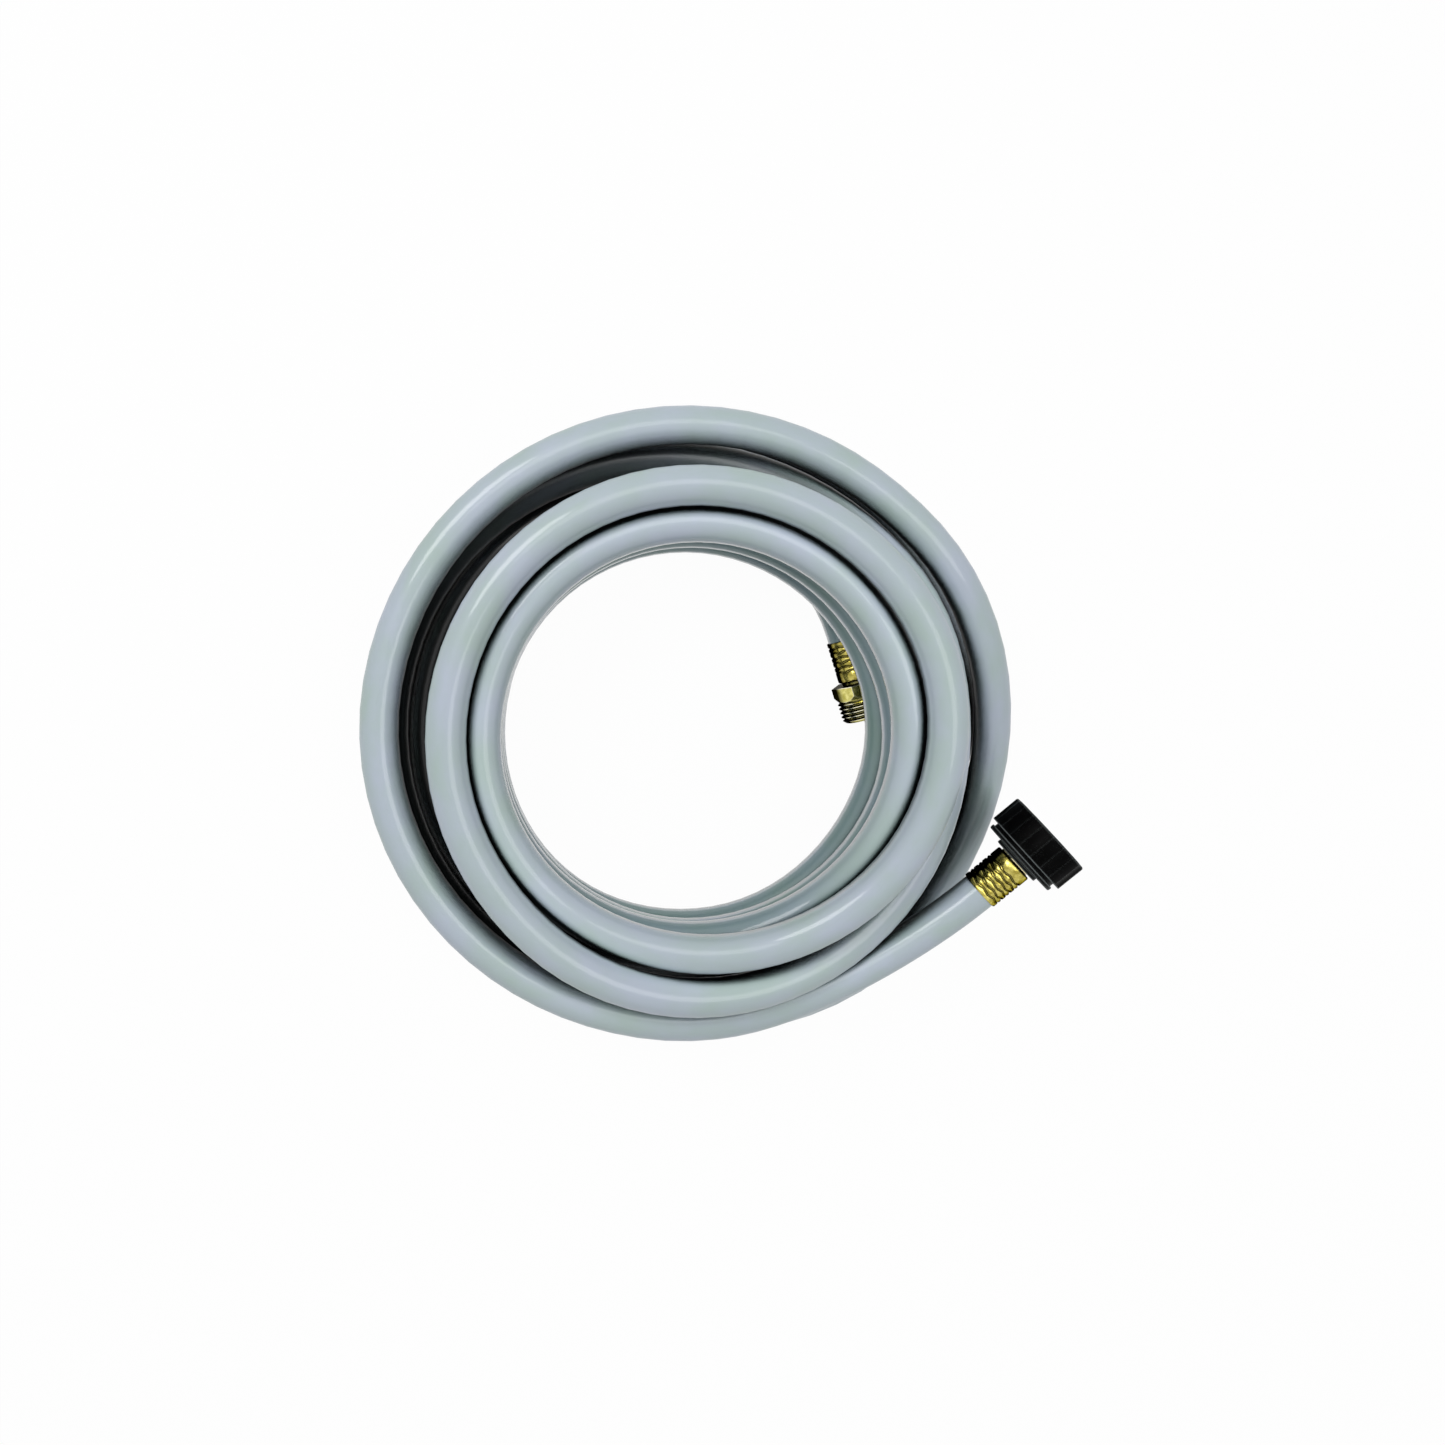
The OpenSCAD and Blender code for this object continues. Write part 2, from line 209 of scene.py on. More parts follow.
def disc(name: str, hole: float, rim: float, back: float, thick: float) -> bpy.types.Object:
    """Turns a flat disc with a hole.

    Args:
        name: the new object's name.
        hole: the hole's radius in mm.
        rim: the disc's radius.
        back: the height of its lower face.
        thick: its thickness.

    Returns:
        A closed mesh object along Z.
    """
    front = back + thick
    return turned(name, [(hole, back), (rim, back), (rim, front), (hole, front)])


def combine(obj: bpy.types.Object, tool: bpy.types.Object, operation: str) -> None:
    """Joins, cuts or intersects a mesh with another one and deletes the other.

    Args:
        obj: the mesh that is changed.
        tool: the mesh that it is combined with.
        operation: UNION, DIFFERENCE or INTERSECT.
    """
    cut = obj.modifiers.new("combine", "BOOLEAN")
    cut.operation = operation
    cut.solver = "EXACT"
    cut.object = tool
    apply_modifiers(obj)
    bpy.data.objects.remove(tool)


def soften_edges(
    obj: bpy.types.Object, width: float, angle: float = 35.0, segments: int = 2
) -> None:
    """Bevels the sharp edges of a mesh and shades it smooth by angle.

    Args:
        obj: the mesh object.
        width: the bevel's width in mm.
        angle: edges sharper than this many degrees are bevelled.
        segments: rows of faces in the bevel.
    """
    bevel = obj.modifiers.new("soft_edges", "BEVEL")
    bevel.width = width * MM
    bevel.segments = segments
    bevel.limit_method = "ANGLE"
    bevel.angle_limit = math.radians(angle)
    bevel.use_clamp_overlap = True
    apply_modifiers(obj)
    shade(obj, angle)


def shade(obj: bpy.types.Object, angle: float) -> None:
    """Shades a mesh smooth, apart from edges sharper than an angle.

    Args:
        obj: the mesh object.
        angle: the limit in degrees.
    """
    take(obj)
    bpy.ops.object.shade_smooth_by_angle(angle=math.radians(angle))


def select_where(obj: bpy.types.Object, picked: Callable[[Vector], bool]) -> None:
    """Opens a mesh for editing with only the picked vertices selected.

    Args:
        obj: the mesh object.
        picked: tells from a vertex's place, in mm, whether it is selected.
    """
    take(obj)
    bpy.ops.object.mode_set(mode="EDIT")
    bpy.ops.mesh.select_all(action="DESELECT")
    bpy.ops.object.mode_set(mode="OBJECT")
    hits = [picked(v.co / MM) for v in obj.data.vertices]
    obj.data.vertices.foreach_set("select", hits)
    bpy.ops.object.mode_set(mode="EDIT")
    bpy.ops.mesh.select_mode(type="VERT")


def scale_where(
    obj: bpy.types.Object, picked: Callable[[Vector], bool], factor: float
) -> None:
    """Draws the picked vertices towards or away from the Z axis.

    Args:
        obj: the mesh object.
        picked: tells from a vertex's place, in mm, whether it moves.
        factor: how much its distance from the axis is multiplied by.
    """
    select_where(obj, picked)
    bpy.ops.transform.resize(value=(factor, factor, 1), center_override=(0, 0, 0))
    bpy.ops.object.mode_set(mode="OBJECT")


def slide_where(
    obj: bpy.types.Object, picked: Callable[[Vector], bool], along: float
) -> None:
    """Slides the picked vertices along the Z axis.

    Args:
        obj: the mesh object.
        picked: tells from a vertex's place, in mm, whether it moves.
        along: how far it moves, in mm.
    """
    select_where(obj, picked)
    bpy.ops.transform.translate(value=(0, 0, along * MM))
    bpy.ops.object.mode_set(mode="OBJECT")


# ---------------------------------------------------------------------------------------------
# Finishes
# ---------------------------------------------------------------------------------------------


def feed(tree: bpy.types.NodeTree, value: Value, socket: bpy.types.NodeSocket) -> None:
    """Gives an input a value of its own, or links another node's output to it.

    Args:
        tree: the nodes that both are in.
        value: the plain value or the output.
        socket: the input.
    """
    if isinstance(value, bpy.types.NodeSocket):
        tree.links.new(value, socket)
    else:
        socket.default_value = value


def add_node(
    tree: bpy.types.NodeTree,
    kind: str,
    inputs: Mapping[str | int, Value] | None = None,
    **settings: object,
) -> bpy.types.Node:
    """Adds a node, sets it, and then feeds its inputs.

    Args:
        tree: where it goes.
        kind: its type, without the ShaderNode at the front.
        inputs: what each named or numbered input gets.
        settings: its own properties.

    Returns:
        The node.
    """
    node = tree.nodes.new(f"ShaderNode{kind}")
    for key, value in settings.items():
        setattr(node, key, value)
    for key, value in (inputs or {}).items():
        feed(tree, value, node.inputs[key])
    return node


def blended(
    tree: bpy.types.NodeTree, how: str, share: Value, under: Value, over: Value
) -> bpy.types.NodeSocket:
    """Lays one colour over another.

    Args:
        tree: the nodes that it is done in.
        how: the blend type.
        share: how much of the upper colour counts.
        under: the lower colour.
        over: the upper colour.

    Returns:
        The mixed colour.
    """
    inputs = {"Factor": share, "A": under, "B": over}
    return add_node(tree, "Mix", inputs, data_type="RGBA", blend_type=how).outputs["Result"]


def grey(value: float) -> Colour:
    """Returns an even grey."""
    return (value, value, value, 1.0)


class ShaderGroup:
    """A shader group that several finishes share: built once, placed with values of its own."""

    NAME = ""
    INPUTS: tuple[tuple[str, str], ...] = ()
    OUTPUTS: tuple[tuple[str, str], ...] = ()

    @classmethod
    def tree(cls) -> bpy.types.NodeTree:
        """Builds the group at the first call.

        Returns:
            The group.
        """
        if cls.NAME in bpy.data.node_groups:
            return bpy.data.node_groups[cls.NAME]
        group = bpy.data.node_groups.new(cls.NAME, "ShaderNodeTree")
        for way, sockets in (("INPUT", cls.INPUTS), ("OUTPUT", cls.OUTPUTS)):
            for name, kind in sockets:
                group.interface.new_socket(name, in_out=way, socket_type=f"NodeSocket{kind}")
        given = group.nodes.new("NodeGroupInput")
        made = group.nodes.new("NodeGroupOutput")
        for name, result in cls.wire(group, given.outputs).items():
            group.links.new(result, made.inputs[name])
        return group

    @classmethod
    def wire(
        cls, group: bpy.types.NodeTree, given: bpy.types.NodeOutputs
    ) -> dict[str, bpy.types.NodeSocket]:
        """Fills the group with its nodes.

        Args:
            group: the group's own nodes.
            given: its inputs, by name.

        Returns:
            What each of its outputs gives.
        """
        raise NotImplementedError

    @classmethod
    def place(cls, tree: bpy.types.NodeTree, inputs: Mapping[str, Value]) -> bpy.types.Node:
        """Places the group in a material.

        Args:
            tree: the material's nodes.
            inputs: what each of its inputs gets.

        Returns:
            The placed node.
        """
        node = add_node(tree, "Group", node_tree=cls.tree())
        for name, value in inputs.items():
            feed(tree, value, node.inputs[name])
        return node


class Mottle(ShaderGroup):
    """Uneven tone at a coarse scale, uneven gloss and relief at a fine one."""

    NAME = "mottled_surface"
    INPUTS = (
        ("Vector", "Vector"),
        ("Coarse Scale", "Float"),
        ("Fine Scale", "Float"),
        ("Light", "Color"),
        ("Dark", "Color"),
        ("Smoothest", "Float"),
        ("Roughest", "Float"),
        ("Relief", "Float"),
    )
    OUTPUTS = (("Color", "Color"), ("Roughness", "Float"), ("Normal", "Vector"))
    COARSE_DETAIL = 4
    FINE_DETAIL = 3
    TONE_SPAN = (0.35, 0.65)
    GLOSS_SPAN = (0.3, 0.7)
    BUMP_HEIGHT = 0.2

    @classmethod
    def wire(
        cls, group: bpy.types.NodeTree, given: bpy.types.NodeOutputs
    ) -> dict[str, bpy.types.NodeSocket]:
        """Fills the group with two noises and what follows from them.

        Args:
            group: the group's own nodes.
            given: its inputs, by name.

        Returns:
            What each of its outputs gives.
        """
        noises = []
        for scale, detail in (("Coarse Scale", cls.COARSE_DETAIL), ("Fine Scale", cls.FINE_DETAIL)):
            inputs = {"Vector": given["Vector"], "Scale": given[scale], "Detail": detail}
            noises.append(add_node(group, "TexNoise", inputs).outputs["Fac"])
        coarse, fine = noises
        low, high = cls.TONE_SPAN
        tone = add_node(group, "MapRange", {"Value": coarse, "From Min": low, "From Max": high})
        low, high = cls.GLOSS_SPAN
        ends = {"To Min": given["Smoothest"], "To Max": given["Roughest"]}
        gloss = add_node(
            group, "MapRange", {"Value": fine, "From Min": low, "From Max": high, **ends}
        )
        relief = {"Strength": given["Relief"], "Height": fine}
        bump = add_node(group, "Bump", {"Distance": cls.BUMP_HEIGHT * MM, **relief})
        share = tone.outputs["Result"]
        return {
            "Color": blended(group, "MIX", share, given["Light"], given["Dark"]),
            "Roughness": gloss.outputs["Result"],
            "Normal": bump.outputs["Normal"],
        }


class Openness(ShaderGroup):
    """How open a place is, from 0 where other surfaces close it in to 1."""

    NAME = "openness"
    INPUTS = (("Reach", "Float"),)
    OUTPUTS = (("Share", "Float"),)

    @classmethod
    def wire(
        cls, group: bpy.types.NodeTree, given: bpy.types.NodeOutputs
    ) -> dict[str, bpy.types.NodeSocket]:
        """Fills the group with one look around.

        Args:
            group: the group's own nodes.
            given: its inputs, by name.

        Returns:
            What each of its outputs gives.
        """
        reach = {"Distance": given["Reach"]}
        near = add_node(group, "AmbientOcclusion", reach, samples=AO_SAMPLES)
        return {"Share": near.outputs["AO"]}


class Rise(ShaderGroup):
    """A share that rises with the Z part of a vector, such as a normal or a place."""

    NAME = "rise"
    INPUTS = (("Vector", "Vector"), ("From", "Float"), ("To", "Float"), ("Least", "Float"))
    OUTPUTS = (("Share", "Float"),)

    @classmethod
    def wire(
        cls, group: bpy.types.NodeTree, given: bpy.types.NodeOutputs
    ) -> dict[str, bpy.types.NodeSocket]:
        """Fills the group with the split and the range.

        Args:
            group: the group's own nodes.
            given: its inputs, by name.

        Returns:
            What each of its outputs gives.
        """
        height = add_node(group, "SeparateXYZ", {0: given["Vector"]}).outputs["Z"]
        ends = {"From Min": given["From"], "From Max": given["To"], "To Min": given["Least"]}
        share = add_node(group, "MapRange", {"Value": height, **ends})
        return {"Share": share.outputs["Result"]}


class EdgeHighlight(ShaderGroup):
    """A painted highlight: a colour that gives way to a brighter one along a piece's own outer
    edges.
    """

    NAME = "painted_edge_highlight"
    INPUTS = (("Color", "Color"), ("Highlight", "Color"), ("Reach", "Float"))
    OUTPUTS = (("Color", "Color"),)
    FLAT = 0.98
    SHARP = 0.78

    @classmethod
    def wire(
        cls, group: bpy.types.NodeTree, given: bpy.types.NodeOutputs
    ) -> dict[str, bpy.types.NodeSocket]:
        """Fills the group with one look inwards and the blend.

        Args:
            group: the group's own nodes.
            given: its inputs, by name.

        Returns:
            What each of its outputs gives.
        """
        inside = add_node(
            group,
            "AmbientOcclusion",
            {"Distance": given["Reach"]},
            samples=AO_SAMPLES,
            inside=True,
            only_local=True,
        )
        span = {"From Min": cls.FLAT, "From Max": cls.SHARP}
        share = add_node(group, "MapRange", {"Value": inside.outputs["AO"], **span})
        highlighted = blended(group, "MIX", share.outputs["Result"], given["Color"], given["Highlight"])
        return {"Color": highlighted}


@dataclass(frozen=True)
class Finish:
    """A surface made of the shared groups under one shader, some of which paint shade and
    highlights into its colour.

    Attributes:
        name: the material's name.
        light: the lighter of the two tones that the mottle moves between.
        dark: the darker one.
        smoothest: the least roughness.
        roughest: the most.
        coarse: the scale of the tone.
        fine: the scale of gloss and relief.
        relief: the strength of the relief.
        stretch: how the mottle is scaled along each axis.
        along_surface: whether the mottle follows the piece's own map.
        metallic: how much it is a metal.
        specular: how strongly a plain surface mirrors.
        tint: the tint of a metal's edge reflection.
        coat: how much clear skin lies over it.
        coat_roughness: the roughness of that skin.
        coat_ior: how strongly that skin mirrors.
        crevice: how near another surface, in mm, starts the painted shade of a crevice, or 0 for
            none.
        shades: the (openness, tone) stops of that painted crevice shade.
        side: what is left of the colour on sides and underneath, which are darkened as painted
            shade.
        side_from: how far up a face points, from 0 to 1, where it has its full colour.
        foot: the heights in mm between which the colour comes back over a foot darkened as painted
            shade.
        edge: the tone of the painted highlight along outer edges.
        edge_reach: how far in from an edge the painted highlight goes in mm, or 0 for none.
    """

    name: str
    light: Colour
    dark: Colour
    smoothest: float
    roughest: float
    coarse: float
    fine: float
    relief: float
    stretch: tuple[float, float, float] = (1.0, 1.0, 1.0)
    along_surface: bool = False
    metallic: float = 0.0
    specular: float = 0.5
    tint: Colour = grey(1.0)
    coat: float = 0.0
    coat_roughness: float = 0.25
    coat_ior: float = 1.5
    crevice: float = 0.0
    shades: tuple[tuple[float, Colour], ...] = ()
    side: float = 1.0
    side_from: float = 0.3
    foot: tuple[float, float] | None = None
    edge: Colour = grey(0.2)
    edge_reach: float = 0.0

    SIDE_FADE = 0.25
    CREVICES_NODE = "crevices"
    SIDES_NODE = "sides"
    FOOT_NODE = "foot"

    def material(self) -> bpy.types.Material:
        """Builds the material at the first call.

        Returns:
            A node material with this finish.
        """
        if self.name in bpy.data.materials:
            return bpy.data.materials[self.name]
        made = bpy.data.materials.new(self.name)
        made.use_nodes = True
        tree = made.node_tree
        shader = tree.nodes["Principled BSDF"]
        mottle = self.mottle(tree)
        colour = mottle["Color"]
        # Painted highlight along the piece's outer edges
        if self.edge_reach:
            edge_light = {"Color": colour, "Highlight": self.edge, "Reach": self.edge_reach * MM}
            colour = EdgeHighlight.place(tree, edge_light).outputs["Color"]
        # Painted shade in crevices and between parts, from how open each place is
        if self.crevice:
            colour = self.paint_crevice_shade(tree, colour)
        # Painted shade on sides and undersides, from the surface's normal
        if self.side < 1:
            normal = add_node(tree, "NewGeometry").outputs["Normal"]
            span = (self.side_from - self.SIDE_FADE, self.side_from)
            colour = self.paint_shade_below(tree, colour, self.SIDES_NODE, normal, span)
        # Painted shade: darker towards the bottom of the piece
        if self.foot:
            place = add_node(tree, "TexCoord").outputs["Object"]
            span = (self.foot[0] * MM, self.foot[1] * MM)
            colour = self.paint_shade_below(tree, colour, self.FOOT_NODE, place, span)
        for name, value in (
            ("Metallic", self.metallic),
            ("Specular IOR Level", self.specular),
            ("Specular Tint", self.tint),
            ("Coat Weight", self.coat),
            ("Coat Roughness", self.coat_roughness),
            ("Coat IOR", self.coat_ior),
            ("Base Color", colour),
            ("Roughness", mottle["Roughness"]),
            ("Normal", mottle["Normal"]),
        ):
            feed(tree, value, shader.inputs[name])
        self.lay_over(tree, shader)
        return made

    def mottle(self, tree: bpy.types.NodeTree) -> bpy.types.NodeOutputs:
        """Places the shared mottle.

        Args:
            tree: the material's nodes.

        Returns:
            Its outputs, by name.
        """
        source = add_node(tree, "TexCoord").outputs["UV" if self.along_surface else "Object"]
        mapping = add_node(tree, "Mapping", {"Vector": source, "Scale": self.stretch})
        inputs = {
            "Vector": mapping.outputs["Vector"],
            "Coarse Scale": self.coarse,
            "Fine Scale": self.fine,
            "Light": self.light,
            "Dark": self.dark,
            "Smoothest": self.smoothest,
            "Roughest": self.roughest,
            "Relief": self.relief,
        }
        return Mottle.place(tree, inputs).outputs

    def paint_crevice_shade(
        self, tree: bpy.types.NodeTree, colour: bpy.types.NodeSocket
    ) -> bpy.types.NodeSocket:
        """Paints shade into a colour where other surfaces are close by.

        Args:
            tree: the material's nodes.
            colour: the colour in the open.

        Returns:
            The colour with painted shade in its crevices.
        """
        share = Openness.place(tree, {"Reach": self.crevice * MM}).outputs["Share"]
        ramp = add_node(tree, "ValToRGB", {"Fac": share}, name=self.CREVICES_NODE)
        stops = ramp.color_ramp.elements
        while len(stops) < len(self.shades):
            stops.new(1.0)
        for stop, (position, tone) in zip(stops, self.shades):
            stop.position = position
            stop.color = tone
        return blended(tree, "MULTIPLY", 1.0, colour, ramp.outputs["Color"])

    def paint_shade_below(
        self,
        tree: bpy.types.NodeTree,
        colour: bpy.types.NodeSocket,
        name: str,
        vector: bpy.types.NodeSocket,
        span: tuple[float, float],
    ) -> bpy.types.NodeSocket:
        """Paints shade into a colour where a vector's Z part is low.

        Args:
            tree: the material's nodes.
            colour: the full colour.
            name: the name of the share's node.
            vector: the vector, such as the normal or the place.
            span: the Z parts where the colour starts to come back and where it is full.

        Returns:
            The colour with its painted shade.
        """
        inputs = {"Vector": vector, "From": span[0], "To": span[1], "Least": self.side}
        rise = Rise.place(tree, inputs)
        rise.name = name
        return blended(tree, "MULTIPLY", 1.0, colour, rise.outputs["Share"])

    def lay_over(self, tree: bpy.types.NodeTree, shader: bpy.types.Node) -> None:
        """Adds what a finish has beyond the shared steps, which is nothing here.

        Args:
            tree: the material's nodes.
            shader: its shader, with everything else fed to it.
        """

    def dress(self, obj: bpy.types.Object) -> None:
        """Gives an object this finish alone.

        Args:
            obj: the mesh object to dress.
        """
        obj.data.materials.clear()
        obj.data.materials.append(self.material())


@dataclass(frozen=True)
class HoseFinish(Finish):
    """The hose's skin: dull where turns lie on one another, glossy where it faces the hole, with
    painted shade on its low and hidden turns.

    Attributes:
        stacked: the painted shade that tints the lower turns of the inner stack.
        buried: the near-black painted shade of the turns hidden between the rings.
    """

    stacked: Colour = grey(0.5)
    buried: Colour = grey(0.02)

    def lay_over(self, tree: bpy.types.NodeTree, shader: bpy.types.Node) -> None:
        """Lays the painted shade of the hose's own marks over the skin, and sets its coat.

        Args:
            tree: the material's nodes.
            shader: its shader, with everything else fed to it.
        """
        marks = {
            mark: add_node(tree, "Attribute", attribute_name=mark.value).outputs["Fac"]
            for mark in Mark
        }
        colour = shader.inputs["Base Color"].links[0].from_socket
        # Painted shade: the lower stacked turns and the hidden turns are darkened
        for mark, tone in ((Mark.STACKED, self.stacked), (Mark.BURIED, self.buried)):
            colour = blended(tree, "MULTIPLY", marks[mark], colour, tone)
        coat = tree.nodes[self.CREVICES_NODE].outputs["Color"]
        for how, other in (
            ("MULTIPLY", tree.nodes[self.SIDES_NODE].outputs["Share"]),
            ("MULTIPLY", self.coat),
            ("MAXIMUM", marks[Mark.HOLE_SIDE]),
        ):
            coat = add_node(tree, "Math", {0: coat, 1: other}, operation=how).outputs["Value"]
        feed(tree, colour, shader.inputs["Base Color"])
        feed(tree, coat, shader.inputs["Coat Weight"])


GREY_VINYL = HoseFinish(
    name="vinyl_skin",
    light=(0.530, 0.600, 0.700, 1),
    dark=(0.470, 0.585, 0.565, 1),
    smoothest=0.30,
    roughest=0.42,
    coarse=0.45,
    fine=60.0,
    relief=0.05,
    specular=0.3,
    coat=0.14,
    coat_roughness=0.05,
    coat_ior=2.4,
    # Painted shade and light from openness: black in the gaps between turns, brightest part way in,
    # a little darker in the open
    crevice=45.0,
    shades=(
        (0.36, grey(0.0)),
        (0.42, (0.09, 0.12, 0.12, 1)),
        (0.46, (0.38, 0.43, 0.43, 1)),
        (0.50, (0.66, 0.70, 0.70, 1)),
        (0.54, (0.89, 0.92, 0.92, 1)),
        (0.60, grey(0.99)),
        (0.76, grey(1.0)),
        (1.00, grey(0.86)),
    ),
    # Painted shade on sides and undersides
    side=0.35,
    side_from=0.28,
    stretch=(1.0, 6.0, 1.0),
    along_surface=True,
    # Painted shade on the lower turns of the inner stack
    stacked=(0.46, 0.55, 0.53, 1),
)
# Painted shade stops for the grooves of the brass
METAL_SHADES = ((0.45, grey(0.0)), (0.72, grey(0.12)), (0.93, grey(1.0)))
PRESSED_BRASS = Finish(
    name="brass_crimped",
    light=(0.66, 0.57, 0.16, 1),
    dark=(0.34, 0.28, 0.05, 1),
    smoothest=0.15,
    roughest=0.32,
    coarse=420.0,
    fine=1300.0,
    relief=0.3,
    metallic=1.0,
    tint=(0.06, 0.05, 0.01, 1),
    # Painted shade in the grooves and on sides and undersides
    crevice=1.5,
    shades=METAL_SHADES,
    side=0.01,
    side_from=0.62,
)
TURNED_BRASS = Finish(
    name="brass_machined",
    light=(0.92, 0.85, 0.32, 1),
    dark=(0.50, 0.45, 0.10, 1),
    smoothest=0.12,
    roughest=0.26,
    coarse=260.0,
    fine=1400.0,
    relief=0.12,
    metallic=1.0,
    tint=(0.06, 0.05, 0.01, 1),
    # Painted shade in the grooves, on sides and undersides and towards the bottom; painted
    # highlight along the edges
    crevice=1.5,
    shades=METAL_SHADES,
    side=0.01,
    side_from=0.50,
    foot=(16.5, 20.0),
    edge_reach=0.5,
    edge=(1.0, 0.96, 0.75, 1),
)
BRIGHT_BRASS = Finish(
    name="brass_bright",
    light=(0.85, 0.76, 0.48, 1),
    dark=(0.70, 0.60, 0.32, 1),
    smoothest=0.10,
    roughest=0.22,
    coarse=140.0,
    fine=1400.0,
    relief=0.1,
    metallic=1.0,
)
BLACK_PLASTIC = Finish(
    name="plastic_moulded",
    light=(0.0022, 0.0022, 0.0024, 1),
    dark=(0.0008, 0.0008, 0.0008, 1),
    smoothest=0.3,
    roughest=0.45,
    coarse=90.0,
    fine=1600.0,
    relief=0.12,
    specular=0.02,
    # Painted highlight along the edges
    edge_reach=0.8,
    edge=(0.16, 0.18, 0.18, 1),
)
BLACK_RUBBER = Finish(
    name="rubber_moulded",
    light=(0.020, 0.020, 0.020, 1),
    dark=(0.012, 0.012, 0.012, 1),
    smoothest=0.6,
    roughest=0.75,
    coarse=90.0,
    fine=1200.0,
    relief=0.2,
)


# ---------------------------------------------------------------------------------------------
# Where the fittings are
# ---------------------------------------------------------------------------------------------


@dataclass(frozen=True)
class Axis:
    """The axis of a fitting: the mouth of its ferrule and the way that it points."""

    mouth: tuple[float, float, float]
    turn: float
    tilt: float = 0.0

    def heading(self) -> Vector:
        """Returns the unit vector from the hose outwards."""
        turn, tilt = math.radians(self.turn), math.radians(self.tilt)
        level = math.cos(tilt)
        return Vector((math.cos(turn) * level, math.sin(turn) * level, math.sin(tilt)))

    def at(self, along: float) -> Vector:
        """Returns the point of the axis so many mm out from the mouth, in the pile's own frame."""
        return Vector(self.mouth) + along * self.heading()

    def place(self, obj: bpy.types.Object) -> None:
        """Brings a finished piece from its own Z axis to its place, with its origin at the row's.

        Args:
            obj: a mesh object modelled along Z from the ferrule's mouth.
        """
        mouth = (Vector(self.mouth) + Pile.SHIFT) * MM
        turn = Matrix.Rotation(math.radians(self.turn), 4, "Z")
        lay = Matrix.Rotation(math.radians(90 - self.tilt), 4, "Y")
        obj.matrix_world = Matrix.Translation(mouth) @ turn @ lay
        take(obj)
        bpy.ops.object.transform_apply(location=True, rotation=True, scale=True)


class Pile:
    """The pile of turns as a whole."""

    # From the axis of the inner stack of turns to the row's origin
    SHIFT = Vector((-12.2506, 2.3296, 0))


@dataclass(frozen=True)
class ThreadForm:
    """The common 3/4 inch garden hose thread."""

    major: float = 27.0
    root: float = 24.6
    pitch: float = 2.209
    steps: int = 72

    # One turn's profile: (how far out from root to crest, how far along the pitch)
    FORM = ((0, 0.0), (0, 0.1), (1, 0.42), (1, 0.58), (0, 0.9), (0, 1.0))
    SPARE_TURNS = 3

    def rod(self, name: str, low: float, high: float, grow: float = 0.0) -> bpy.types.Object:
        """Makes a threaded rod with square ends.

        Args:
            name: the new object's name.
            low: height of its lower end in mm.
            high: height of its upper end in mm.
            grow: added to its radii in mm, for an inside thread's play.

        Returns:
            A closed mesh object along Z.
        """
        radii = (self.root / 2 + grow, self.major / 2 + grow)
        turns = math.ceil((high - low) / self.pitch) + self.SPARE_TURNS
        start = low - 2 * self.pitch
        points = [(radii[out] * MM, 0.0, (start + z * self.pitch) * MM) for out, z in self.FORM]
        mesh = bpy.data.meshes.new(name)
        mesh.from_pydata(points, [(i, i + 1) for i in range(len(points) - 1)], [])
        rod = linked(name, mesh)
        screw = rod.modifiers.new("thread", "SCREW")
        screw.axis = "Z"
        screw.angle = FULL_TURN
        screw.screw_offset = self.pitch * MM
        screw.iterations = turns
        screw.steps = self.steps
        screw.render_steps = self.steps
        screw.use_merge_vertices = False
        apply_modifiers(rod)
        take(rod)
        bpy.ops.object.mode_set(mode="EDIT")
        bpy.ops.mesh.select_all(action="SELECT")
        bpy.ops.mesh.remove_doubles(threshold=SEAM_WELD)
        for height, outer in ((low, False), (high, True)):
            bpy.ops.mesh.select_all(action="SELECT")
            bpy.ops.mesh.bisect(
                plane_co=(0, 0, height * MM),
                plane_no=(0, 0, 1),
                use_fill=True,
                clear_inner=not outer,
                clear_outer=outer,
            )
        bpy.ops.object.mode_set(mode="OBJECT")
        face_outwards(rod)
        return rod


# ---------------------------------------------------------------------------------------------
# The hose
# ---------------------------------------------------------------------------------------------


